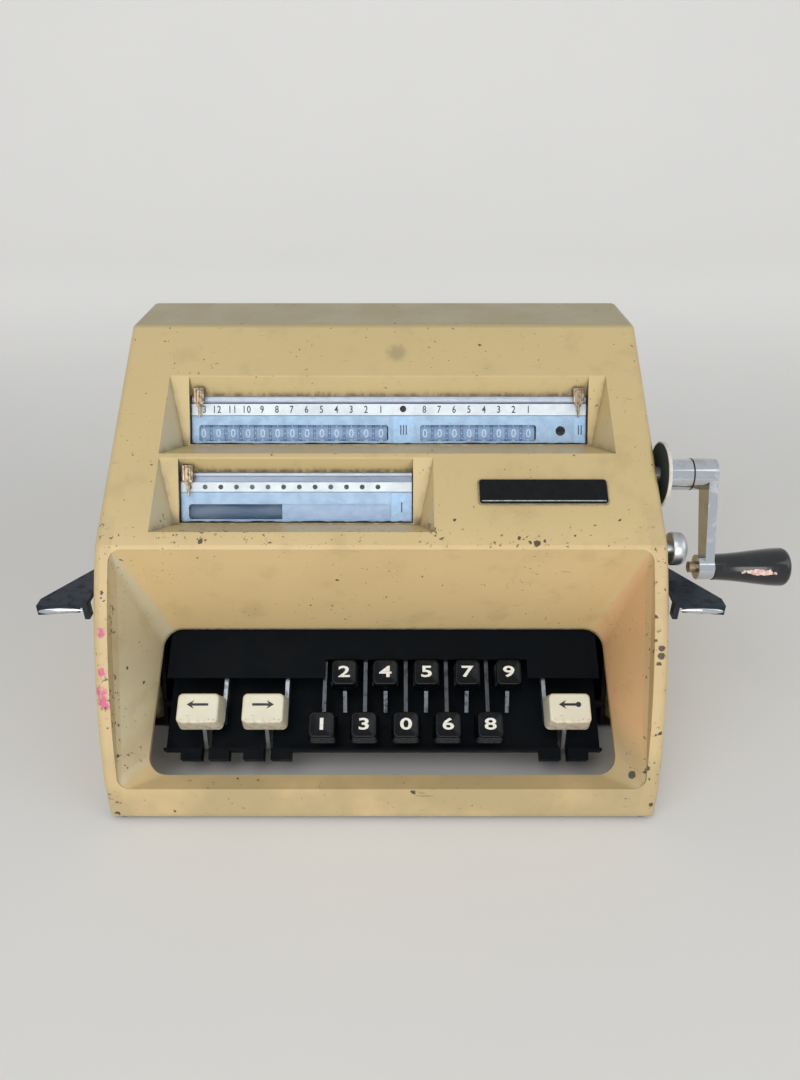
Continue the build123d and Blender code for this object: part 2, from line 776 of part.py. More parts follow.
# --- pinwheel rotor ------------------------------------------------------------------------------------
with BuildPart() as rotor_wheels:
    for digit in range(result_digits):
        wheel_x = result_first_x + digit * digit_pitch
        with BuildSketch(Plane.YZ.offset(wheel_x - rotor_web / 2)):
            with Locations(rotor_axis):
                Circle(rotor_radius)
        extrude(amount=rotor_web)
        with BuildSketch(Plane.YZ.offset(wheel_x - setting_pin_radius)):
            for pin in range(setting_pins):
                pin_angle = setting_pin_start + pin * setting_pin_step
                low = rotor_radius - setting_pin_half
                high = rotor_radius + setting_pin_height
                corners = [(low, -setting_pin_half), (high, -setting_pin_half), (high, setting_pin_half),
                           (low, setting_pin_half)]
                Polygon(*[along(along(rotor_axis, pin_angle, radius), pin_angle + 90, half)
                          for radius, half in corners], align=None)
        extrude(amount=2 * setting_pin_radius)
    with BuildSketch(Plane.YZ.offset(-side_plate_x)):
        with Locations(rotor_axis):
            Circle(shaft_radius)
    extrude(amount=2 * side_plate_x, mode=Mode.SUBTRACT)
save(rotor_wheels, "rotor_wheels")


# --- register wheels and setting drum ---------------------------------------------------------------------
def number_wheels(first_x, count):
    """A row of number wheels that turn on the register shaft."""
    with BuildPart() as wheels:
        for digit in range(count):
            with BuildSketch(Plane.YZ.offset(first_x + digit * digit_pitch - wheel_width / 2)):
                with Locations(wheel_axis):
                    Circle(wheel_radius)
                    Circle(rod_radius + shaft_clearance, mode=Mode.SUBTRACT)
            extrude(amount=wheel_width)
    return wheels


save(number_wheels(result_first_x, result_digits), "result_wheels")
save(number_wheels(counter_first_x, counter_digits), "counter_wheels")

with BuildPart() as setting_drum:
    with BuildSketch(Plane.YZ.offset(-side_plate_x - plate_gauge)):
        with Locations(drum_axis):
            Circle(rod_radius)
    extrude(amount=2 * (side_plate_x + plate_gauge))
    with BuildSketch(Plane.YZ.offset(result_left)):
        with Locations(drum_axis):
            Circle(drum_radius)
    extrude(amount=slot_right - result_left)
save(setting_drum, "setting_drum")

# --- crank ---------------------------------------------------------------------------------------------------
with BuildPart() as crank_disc:
    with BuildSketch(Plane.YZ.offset(disc_x)):
        with Locations(crank_axis):
            Circle(disc_radius)
            Circle(shaft_radius, mode=Mode.SUBTRACT)
    extrude(amount=disc_thickness)
save(crank_disc, "crank_disc")

with BuildPart() as crank_sleeve:
    with BuildSketch(Plane.YZ.offset(sleeve_x)):
        with Locations(crank_axis):
            Circle(sleeve_radius)
            Circle(shaft_radius, mode=Mode.SUBTRACT)
    extrude(amount=sleeve_length)
save(crank_sleeve, "crank_sleeve")

with BuildPart() as crank_arm:
    with BuildSketch(Plane.YZ.offset(hub_x)):
        with Locations(crank_axis):
            Circle(sleeve_radius)
    extrude(amount=hub_length)
    with BuildSketch(Plane.YZ.offset(arm_x)):
        root_half = arm_root_width / 2
        tip_half = arm_tip_width / 2
        Polygon(along(crank_axis, arm_angle + 90, root_half), along(crank_axis, arm_angle - 90, root_half),
                along(grip_axis, arm_angle - 90, tip_half), along(grip_axis, arm_angle + 90, tip_half), align=None)
        with Locations(grip_axis):
            Circle(tip_half)
    extrude(amount=arm_thickness)
    with BuildSketch(Plane.YZ.offset(arm_x - boss_inset)):
        with Locations(grip_axis):
            Circle(grip_boss_radius)
    extrude(amount=arm_thickness + boss_inset)
    with BuildSketch(Plane.YZ.offset(hub_x)):
        with Locations(crank_axis):
            Circle(shaft_radius)
    extrude(amount=hub_length / 2, mode=Mode.SUBTRACT)
    with BuildSketch(Plane.YZ.offset(arm_x - boss_inset)):
        with Locations(grip_axis):
            Circle(grip_bore)
    extrude(amount=arm_thickness + boss_inset, mode=Mode.SUBTRACT)
save(crank_arm, "crank_arm")

with BuildPart() as grip_pin:
    with BuildSketch(Plane.YZ.offset(arm_x - pin_head_length)):
        with Locations(grip_axis):
            Circle(pin_head_radius)
    extrude(amount=pin_head_length)
    with BuildSketch(Plane.YZ.offset(arm_x)):
        with Locations(grip_axis):
            Circle(grip_bore)
    extrude(amount=arm_thickness + grip_gap + grip_length * grip_depth)
save(grip_pin, "grip_pin")

with BuildPart() as crank_grip:
    with BuildSketch(Plane.XY.offset(grip_axis[1])):
        with BuildLine():
            end = grip_x + grip_length
            centre = grip_axis[0]
            Line((grip_x, centre), (grip_x, centre + grip_small_radius))
            Bezier((grip_x, centre + grip_small_radius), (grip_x + grip_length / 3, centre + grip_small_radius),
                   (end - grip_length / 3, centre + grip_large_radius), (end - 2 * cap_round, centre + grip_large_radius))
            RadiusArc((end - 2 * cap_round, centre + grip_large_radius), (end, centre + grip_large_radius - 2 * cap_round),
                      2 * cap_round)
            Line((end, centre + grip_large_radius - 2 * cap_round), (end, centre))
            Line((end, centre), (grip_x, centre))
        make_face()
    revolve(axis=Axis((0, *grip_axis), (1, 0, 0)))
    with BuildSketch(Plane.YZ.offset(grip_x)):
        with Locations(grip_axis):
            Circle(grip_bore + shaft_clearance)
    extrude(amount=grip_length * grip_depth + fit_gap, mode=Mode.SUBTRACT)
save(crank_grip, "crank_grip")

# --- push knob and wing levers -----------------------------------------------------------------------------------
knob_x = case_width / 2 + knob_travel + fit_gap
with BuildPart() as push_knob:
    with BuildSketch(Plane.XY.offset(knob_axis[1])):
        with BuildLine():
            tip = knob_x + knob_length - knob_travel
            centre = knob_axis[0]
            Polyline((knob_x, centre), (knob_x, centre + knob_radius), (tip - knob_dome, centre + knob_radius))
            RadiusArc((tip - knob_dome, centre + knob_radius), (tip, centre),
                      (knob_radius**2 + knob_dome**2) / (2 * knob_dome))
            Line((tip, centre), (knob_x, centre))
        make_face()
    revolve(axis=Axis((0, *knob_axis), (1, 0, 0)))
    with BuildSketch(Plane.YZ.offset(side_plate_x - plate_gauge / 2)):
        with Locations(knob_axis):
            Circle(rod_radius)
    extrude(amount=knob_x - side_plate_x + plate_gauge / 2)
save(push_knob, "push_knob")


def wing_lever(sign):
    """A finger wing outside the case on a pivot pin that runs in to the side plate."""
    flank = case_width / 2 + fit_gap
    root_x = flank + wing_hub_length / 2
    tip_x = case_width / 2 + wing_tip_reach
    root_front = front + wing_root_back
    level = wing_axis[1]
    with BuildPart() as wing:
        with BuildSketch(Plane.YZ.offset(sign * flank)):
            with Locations(wing_axis):
                Circle(wing_hub_radius)
        extrude(amount=sign * wing_hub_length)
        with BuildSketch(Plane.YZ.offset(sign * (side_plate_x - plate_gauge / 2))):
            with Locations(wing_axis):
                Circle(rod_radius)
        extrude(amount=sign * (flank - side_plate_x + plate_gauge / 2))
        with BuildSketch(Plane.XY.offset(level - wing_thickness / 2)):
            Polygon((sign * root_x, wing_axis[0]), (sign * (flank + wing_hub_length), wing_axis[0]),
                    (sign * tip_x, root_front + wing_rear_sweep), (sign * tip_x, root_front - wing_front_sweep),
                    (sign * root_x, root_front), align=None)
        extrude(amount=wing_thickness)
        with BuildSketch(Plane.XY.offset(level - wing_lip)):
            Polygon((sign * (root_x + wing_lip), root_front), (sign * tip_x, root_front - wing_front_sweep),
                    (sign * tip_x, root_front - wing_front_sweep / 2),
                    (sign * (root_x + wing_lip), root_front + wing_front_sweep / 2), align=None)
        extrude(amount=wing_lip)
        with BuildSketch(Plane.XY.offset(level - wing_tab_drop)):
            with Locations((sign * (root_x + wing_tab_width / 2), root_front + wing_tab_width)):
                Rectangle(wing_tab_width, 2 * wing_tab_width)
        extrude(amount=wing_tab_drop)
    return wing


save(wing_lever(-1), "left_wing_lever")
save(wing_lever(1), "right_wing_lever")
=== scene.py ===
import random
from math import cos, pi, radians, sin

import bmesh
import bpy
from mathutils import Matrix, Vector


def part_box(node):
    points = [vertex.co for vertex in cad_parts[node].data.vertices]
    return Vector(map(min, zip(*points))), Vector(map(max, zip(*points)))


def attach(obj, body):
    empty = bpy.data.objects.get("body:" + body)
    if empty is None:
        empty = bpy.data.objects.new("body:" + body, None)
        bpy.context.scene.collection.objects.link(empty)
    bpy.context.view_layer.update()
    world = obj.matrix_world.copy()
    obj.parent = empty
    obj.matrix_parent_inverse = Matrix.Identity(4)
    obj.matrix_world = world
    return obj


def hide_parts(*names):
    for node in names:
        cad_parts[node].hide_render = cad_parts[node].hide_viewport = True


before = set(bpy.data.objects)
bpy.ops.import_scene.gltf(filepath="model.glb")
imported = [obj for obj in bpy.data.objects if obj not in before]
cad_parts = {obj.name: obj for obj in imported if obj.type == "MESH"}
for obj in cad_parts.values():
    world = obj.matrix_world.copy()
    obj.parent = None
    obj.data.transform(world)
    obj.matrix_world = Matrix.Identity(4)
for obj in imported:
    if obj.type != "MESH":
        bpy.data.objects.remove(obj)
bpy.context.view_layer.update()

bl_info = {
    "name": "Pinwheel calculator",
    "version": (1, 0, 0),
    "blender": (4, 5, 0),
    "location": "View3D > Sidebar > Calculator",
    "description": "Dresses the CAD frame of a hand-cranked desk calculator",
    "category": "Object",
}

MM = 0.001
# Slopes from level in degrees: the panel with the nameplate, the two window recesses and the keys
PANEL_SLOPE = 33.9
RECESS_SLOPE = 63.0
KEY_SLOPE = 34.99
# Millimetres between neighbouring number wheels, and from the case's middle to the ends of the two windows
PITCH = 7.93
WINDOW_LEFT = -101.9
UPPER_RIGHT = 108.1
LOWER_RIGHT = 15.1
# On the case, in metres: the heights of the flat roof, of the ridge over the keys and of the sill at its foot, and
# how far the inner faces of the front frame and of the sheet behind it stand from the middle
ROOF = 0.205
RIDGE = 0.1335
SILL = 0.0295
WALL_INSIDE = 0.13
SKIN_INSIDE = 0.1343

case_low, case_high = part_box("housing")
CASE_X = (case_low.x + case_high.x) / 2


# --- colours, nodes and materials ---
def linear(colour):
    """A colour as linear red, green, blue and alpha, from sRGB hex or from a setting that is linear already."""
    if not isinstance(colour, str):
        return (*colour, 1.0)
    parts = [int(colour[i:i + 2], 16) / 255 for i in (1, 3, 5)]
    return (*[c / 12.92 if c <= 0.04045 else ((c + 0.055) / 1.055) ** 2.4 for c in parts], 1.0)


def add_node(tree, kind, inputs=None, **settings):
    """Add a shader node, fill or link its sockets, and set its properties."""
    made = tree.nodes.new("ShaderNode" + kind)
    for name, value in settings.items():
        setattr(made, name, value)
    for name, value in (inputs or {}).items():
        if isinstance(value, bpy.types.NodeSocket):
            tree.links.new(value, made.inputs[name])
        else:
            made.inputs[name].default_value = value
    return made


def blank(name, **sockets):
    """A new material and its node tree, with the shader's own sockets set."""
    material = bpy.data.materials.new(name)
    material.use_nodes = True
    tree = material.node_tree
    tree.nodes.clear()
    shader = add_node(tree, "BsdfPrincipled", {k.replace("_", " "): v for k, v in sockets.items()})
    add_node(tree, "OutputMaterial", {"Surface": shader.outputs["BSDF"]})
    return material, tree


def linked(material, **patterns):
    """A material with patterns linked into its shader's sockets."""
    tree = material.node_tree
    for name, value in patterns.items():
        tree.links.new(value, tree.nodes["Principled BSDF"].inputs[name.replace("_", " ")])
    return material


def place_of(tree, stretch=(1.0, 1.0, 1.0)):
    """The point on the object, in metres, stretched for grain that runs one way."""
    at = add_node(tree, "TexCoord").outputs["Object"]
    return add_node(tree, "Mapping", {"Vector": at, "Scale": stretch}, vector_type="POINT").outputs[0]


def ranged(value, low, high, out_low=0.0, out_high=1.0):
    """A value carried from one range to another, and held inside it."""
    ends = {"From Min": low, "From Max": high, "To Min": out_low, "To Max": out_high}
    return add_node(value.id_data, "MapRange", {"Value": value, **ends}, interpolation_type="SMOOTHSTEP").outputs[0]


def graded(mask, low, high):
    """A value that runs from low to high as a mask goes from 0 to 1."""
    return ranged(mask, 0.0, 1.0, low, high)


def patches(at, size_mm, low, high, detail=3.0, rough=0.55):
    """A mask of soft patches of about one real size, from 0 below low to 1 above high."""
    noise = add_node(at.id_data, "TexNoise",
                     {"Vector": at, "Scale": 1 / MM / size_mm, "Detail": detail, "Roughness": rough})
    return ranged(noise.outputs["Fac"], low, high)


def reckon(operation, a, b=0.0, c=0.0):
    """One sum on two or three numbers, kept between 0 and 1. At least one of the first two is a socket."""
    tree = (a if isinstance(a, bpy.types.NodeSocket) else b).id_data
    return add_node(tree, "Math", {0: a, 1: b, 2: c}, operation=operation, use_clamp=True).outputs[0]


def times(first, *others):
    """Masks multiplied together: 1 only where all of them are."""
    for other in others:
        first = reckon("MULTIPLY", first, other)
    return first


def most(*masks):
    """Masks laid together: 1 where any of them is."""
    *others, last = masks
    for other in reversed(others):
        last = reckon("MAXIMUM", other, last)
    return last


def blended(mask, under, over):
    """The over colour laid on the under colour where the mask is 1. Each is a socket, a hex colour or a setting."""
    under, over = (c if isinstance(c, bpy.types.NodeSocket) else linear(c) for c in (under, over))
    return add_node(mask.id_data, "Mix", {0: mask, 6: under, 7: over}, data_type="RGBA").outputs[2]


def tinted(colour, mask, share, over):
    """A colour with another laid on it where the mask is 1, at most by a share."""
    return blended(times(mask, share), colour, over)


def spots(at, places, wobble_mm, soft):
    """A mask of single marks at given places in millimetres, each with its own radius and a ragged edge."""
    tree = at.id_data
    warp = add_node(tree, "TexNoise", {"Vector": at, "Scale": 1 / MM / (3 * wobble_mm), "Detail": 3.0})
    shift = add_node(tree, "VectorMath", {0: warp.outputs["Color"], 1: (0.5,) * 3}, operation="SUBTRACT")
    ragged = add_node(tree, "VectorMath", {0: shift.outputs[0], 1: (4 * wobble_mm * MM,) * 3, 2: at},
                      operation="MULTIPLY_ADD").outputs[0]
    total = None
    for x, y, z, radius in places:
        away = add_node(tree, "VectorMath", {0: ragged, 1: (CASE_X + x * MM, y * MM, z * MM)},
                        operation="DISTANCE").outputs["Value"]
        mark = ranged(away, radius * MM * (1 - soft), radius * MM, 1.0, 0.0)
        total = mark if total is None else reckon("MAXIMUM", total, mark)
    return total


def dented(height, depth_mm, strength=0.5):
    """A bump from a height mask. Its full height is in millimetres, and below zero it sinks in."""
    return add_node(height.id_data, "Bump", {"Height": height, "Distance": abs(depth_mm) * MM, "Strength": strength},
                    invert=depth_mm < 0).outputs[0]


def seen_rays(tree):
    """A mask of the rays that show a thing to the camera, straight or by way of metal and glass."""
    rays = add_node(tree, "LightPath").outputs
    return most(*[rays[f"Is {kind} Ray"] for kind in ("Camera", "Glossy", "Transmission")])


# --- places in the frame ---
def slope(node, degrees):
    """The front face of a tilted flat node as a matrix: local X across from the case's middle, local Y up the
    slope from the node's top edge, and local Z out of the face, all in metres."""
    up, level = sin(radians(degrees)), cos(radians(degrees))
    across, rise, out = Vector((1, 0, 0)), Vector((0, level, up)), Vector((0, -up, level))
    corners = [v.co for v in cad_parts[node].data.vertices]
    top, face = max(c.dot(rise) for c in corners), max(c.dot(out) for c in corners)
    origin = rise * top + out * face
    origin.x = CASE_X
    return Matrix.Translation(origin) @ Matrix((across, rise, out)).transposed().to_4x4()


def moved(x_mm, y_mm, z_mm=0.0):
    """A shift in millimetres as a matrix."""
    return Matrix.Translation((x_mm * MM, y_mm * MM, z_mm * MM))


def aside_mm(node):
    """How far a node's middle stands to the right of the case's middle, in millimetres."""
    low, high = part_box(node)
    return ((low.x + high.x) / 2 - CASE_X) / MM


def axle(x, low, high):
    """A point at x on the middle line of a box that lies across, as a matrix with local Z along the line."""
    return Matrix.Translation((x, (low.y + high.y) / 2, (low.z + high.z) / 2)) @ Matrix.Rotation(pi / 2, 4, "Y")


# --- meshes ---
def rounded_ring(half_x, half_y, radius, z, x=0.0, y=0.0):
    """Points in millimetres round a rounded rectangle, anticlockwise."""
    ring, steps = [], 5
    for turn, (sx, sy) in enumerate(((1, 1), (-1, 1), (-1, -1), (1, -1))):
        for step in range(steps + 1):
            angle = (turn + step / steps) * pi / 2
            ring.append(Vector((x + sx * (half_x - radius) + radius * cos(angle),
                                y + sy * (half_y - radius) + radius * sin(angle), z)))
    return ring


def circle_ring(radius, z, count, x=0.0, y=0.0):
    """Points in millimetres round a circle, anticlockwise."""
    return [Vector((x + radius * cos(2 * pi * i / count), y + radius * sin(2 * pi * i / count), z))
            for i in range(count)]


def lofted(form, rings):
    """Add a skin through rings of points in millimetres, with both ends filled, to a mesh or to a new one."""
    if form is None:
        form = bmesh.new()
    rows = [[form.verts.new(p * MM) for p in ring] for ring in rings]
    for low, high in zip(rows, rows[1:]):
        for i in range(len(low)):
            j = (i + 1) % len(low)
            form.faces.new((low[i], low[j], high[j], high[i]))
    form.faces.new(reversed(rows[0]))
    form.faces.new(rows[-1])
    return form


def turned(form, profile, count=64, x=0.0, y=0.0):
    """Add a round piece from its radii and heights in millimetres."""
    return lofted(form, [circle_ring(r, z, count, x, y) for r, z in profile])


def plate(form, outline, low, high):
    """Add a flat plate from an anticlockwise outline in millimetres."""
    return lofted(form, [[Vector((x, y, z)) for x, y in outline] for z in (low, high)])


def slab(form, left, right, bottom, top, low, high):
    """Add a flat bar between two heights, in millimetres."""
    return plate(form, [(left, bottom), (right, bottom), (right, top), (left, top)], low, high)


def glyphs(form, text, height, thick, x=0.0, y=0.0, wide=1.0, bold=0.0, gap=1.0, bend=None):
    """Add characters as solid type, centred on a point, in millimetres. With bend, they wrap a wheel of that
    radius about local X and start at that angle."""
    curve = bpy.data.curves.new("type", "FONT")
    curve.body, curve.extrude, curve.offset, curve.resolution_u, curve.space_character = text, 0.05, bold, 4, gap
    holder = bpy.data.objects.new("type", curve)
    mesh = bpy.data.meshes.new_from_object(holder)
    loose = bmesh.new()
    loose.from_mesh(mesh)
    bmesh.ops.remove_doubles(loose, verts=loose.verts, dist=1e-5)
    xs, ys, zs = zip(*[v.co for v in loose.verts])
    size = height / (max(ys) - min(ys))
    deep = thick / max(max(zs) - min(zs), 1e-6)
    for v in loose.verts:
        v.co = Vector(((v.co.x - (min(xs) + max(xs)) / 2) * size * wide, (v.co.y - (min(ys) + max(ys)) / 2) * size,
                       (v.co.z - min(zs)) * deep))
    if bend:
        radius, start = bend
        longest = 0.8
        long_edges = [e for e in loose.edges if abs(e.verts[0].co.y - e.verts[1].co.y) > longest]
        bmesh.ops.subdivide_edges(loose, edges=long_edges, cuts=3)
        for v in loose.verts:
            angle = start + v.co.y / radius
            v.co = Vector((v.co.x + x, (radius + v.co.z) * sin(angle), (radius + v.co.z) * cos(angle)))
    else:
        for v in loose.verts:
            v.co += Vector((x, y, 0.0))
    for v in loose.verts:
        v.co *= MM
    loose.to_mesh(mesh)
    loose.free()
    form.from_mesh(mesh)
    bpy.data.objects.remove(holder)
    bpy.data.curves.remove(curve)
    bpy.data.meshes.remove(mesh)
    return form


def rounded(obj, width_mm):
    """Round the sharp edges of a piece."""
    if width_mm:
        bevel = obj.modifiers.new("Rounded edges", "BEVEL")
        bevel.width, bevel.segments, bevel.limit_method = width_mm * MM, 2, "ANGLE"
        bevel.angle_limit = radians(40)
        bevel.harden_normals = True


def piece(name, form, material, body, matrix, replaces=(), bevel_mm=0.0, smooth=35.0):
    """Make an object from a mesh, smooth it up to an angle, and let it ride on a body."""
    bmesh.ops.recalc_face_normals(form, faces=form.faces)
    for face in form.faces:
        face.smooth = True
    for edge in form.edges:
        edge.smooth = len(edge.link_faces) == 2 and edge.calc_face_angle() < radians(smooth)
    mesh = bpy.data.meshes.new(name)
    form.to_mesh(mesh)
    form.free()
    mesh.materials.append(material)
    obj = bpy.data.objects.new(name, mesh)
    bpy.context.scene.collection.objects.link(obj)
    obj.matrix_world = matrix
    rounded(obj, bevel_mm)
    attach(obj, body)
    if replaces:
        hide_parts(*replaces)


def dress(material, *nodes, bevel_mm=0.0):
    """Give CAD nodes their real finish."""
    for name in nodes:
        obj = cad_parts[name]
        obj.data.materials.clear()
        obj.data.materials.append(material)
        rounded(obj, bevel_mm)


# --- settings ---
def colour_setting(name, words, colour):
    """A colour that the user can change."""
    return bpy.props.FloatVectorProperty(name=name, description=words, subtype="COLOR", size=3, min=0.0, max=1.0,
                                         default=linear(colour)[:3])


def number_setting(name, words, value, unit="NONE", least=0.0):
    """A number that the user can change."""
    return bpy.props.FloatProperty(name=name, description=words, default=value, min=least, unit=unit)


def length_setting(name, words, size_mm):
    """A length that the user can change, in metres."""
    return number_setting(name, words, size_mm * MM, "LENGTH")


class CalculatorCase(bpy.types.PropertyGroup):
    enamel: colour_setting("Enamel", "Colour of the baked enamel", "#CDB682")
    # Painted reflected light: the warm colour laid on the enamel low on the front
    warm_enamel: colour_setting("Lower enamel and painted glow", "Colour of the enamel low on the front", "#DCC08C")
    # Also the colour of the painted shade in the corners
    grime: colour_setting("Grime and shade", "Colour of the dirt in the corners", "#4A402B")
    bare_metal: colour_setting("Chips", "Colour of the metal where the enamel is chipped", "#2A241E")
    plate_line: length_setting("Plate line", "Height of the fine line on the bare nameplate", 0.5)


class CalculatorKeys(bpy.types.PropertyGroup):
    ivory: colour_setting("Ivory", "Colour of the three function keys", "#DEDAC5")
    black: colour_setting("Black", "Colour of the digit keys", "#050709")
    legend: colour_setting("Legend", "Colour of the digits on the keys", "#E9E7DC")
    digit_height: length_setting("Digit height", "Height of the digits on the keys", 6.0)
    dish: length_setting("Dish", "Depth of the hollow in each key's top", 0.6)


class CalculatorRegisters(bpy.types.PropertyGroup):
    scale: colour_setting("Scale", "Colour of the white strips", "#E9F4F8")
    mask: colour_setting("Mask", "Colour of the enamel round the number windows", "#ABCCEA")
    field: colour_setting("Field", "Colour of the numbered fields", "#AFD6FA")
    wheel: colour_setting("Wheels", "Colour of the number wheels", "#8FB2DA")
    pointer_length: length_setting("Pointer length", "Length of each brass pointer down the strip", 15.6)
    numeral_height: length_setting("Numeral height", "Height of the numerals on the scale", 3.8)
    wheel_numeral_height: length_setting("Wheel numeral height", "Height of the numerals on the wheels", 4.6)


class CalculatorMetal(bpy.types.PropertyGroup):
    chrome: colour_setting("Chrome", "Tint of the polished chrome plate", "#C9CDD2")
    steel: colour_setting("Steel", "Tint of the stamped steel", "#9EA3A8")
    brass: colour_setting("Brass", "Tint of the worn brass", "#A8957C")
    grip: colour_setting("Grip", "Colour of the turned grip", "#08090C")
    knob_length: length_setting("Knob length", "Length of the push knob outside the case", 8.0)
    knob_stem: length_setting("Knob stem", "Radius of the push knob's stem", 3.0)
    lip_length: length_setting("Lip length", "Length of the bright lip on each finger wing", 21.0)


class CalculatorStage(bpy.types.PropertyGroup):
    floor: colour_setting("Floor", "Colour of the floor and backdrop", "#ECEAE6")
    backdrop_lift: number_setting("Backdrop lift", "How far the backdrop is made paler", 0.30)
    lens: number_setting("Lens", "Focal length of the view", 18.02, "CAMERA", 1.0)
    key_light: number_setting("Key light", "Strength of the main soft light", 4.0, "POWER")
    fill_light: number_setting("Fill light", "Strength of the fill light", 2.0, "POWER")
    front_light: number_setting("Front light", "Strength of the low light in front", 14.0, "POWER")
    sky: number_setting("Sky", "Strength of the even light", 0.45)


# --- finishes ---
# Marks on the case in millimetres from its middle: x, y, z and radius
STAIN = [(7.4, 29.5, 194.4, 7.6)]
CHIPS = [
    (-86.4, -62.9, 132.5, 1.5), (-84.0, -62.7, 132.6, 0.8), (74.3, -63.8, 131.9, 1.9), (71.0, -63.4, 132.2, 1.1),
    (78.2, -62.7, 132.5, 0.9), (35.6, -53.4, 138.7, 1.1), (66.4, -61.4, 133.3, 1.0), (52.0, 33.9, 197.4, 0.9),
    (-22.5, -56.9, 106.2, 1.1), (92.8, -60.5, 133.9, 0.8), (-132.8, -77.5, 112.6, 0.9), (-131.3, -79.6, 109.4, 0.6),
    (-122.1, -75.7, 56.0, 1.2), (130.4, -83.5, 102.9, 1.2), (133.4, -90.6, 89.9, 1.7), (133.0, -92.3, 86.5, 1.9),
    (132.2, -94.0, 83.0, 1.3), (124.6, -108.2, 23.8, 2.2), (130.1, -112.1, 32.8, 1.4), (134.5, -106.7, 50.8, 1.3),
    (-132.6, -115.9, 5.1, 1.5), (-103.8, -115.8, 6.5, 0.9), (15.4, -115.1, 19.3, 1.5), (-72.2, -107.2, 20.5, 1.0),
    (-129.6, -107.3, 35.9, 1.1), (134.2, -115.5, 10.5, 1.6), (-126.5, -82.0, 70.5, 1.0), (115.3, -53.4, 138.7, 0.9),
]
PINK_SMEARS = [
    (-133.6, -87.0, 96.5, 3.4), (-132.9, -95.6, 79.5, 2.8), (-134.0, -99.5, 70.5, 3.6), (-133.4, -101.3, 66.5, 3.8),
    (-132.0, -102.2, 64.0, 2.8),
]


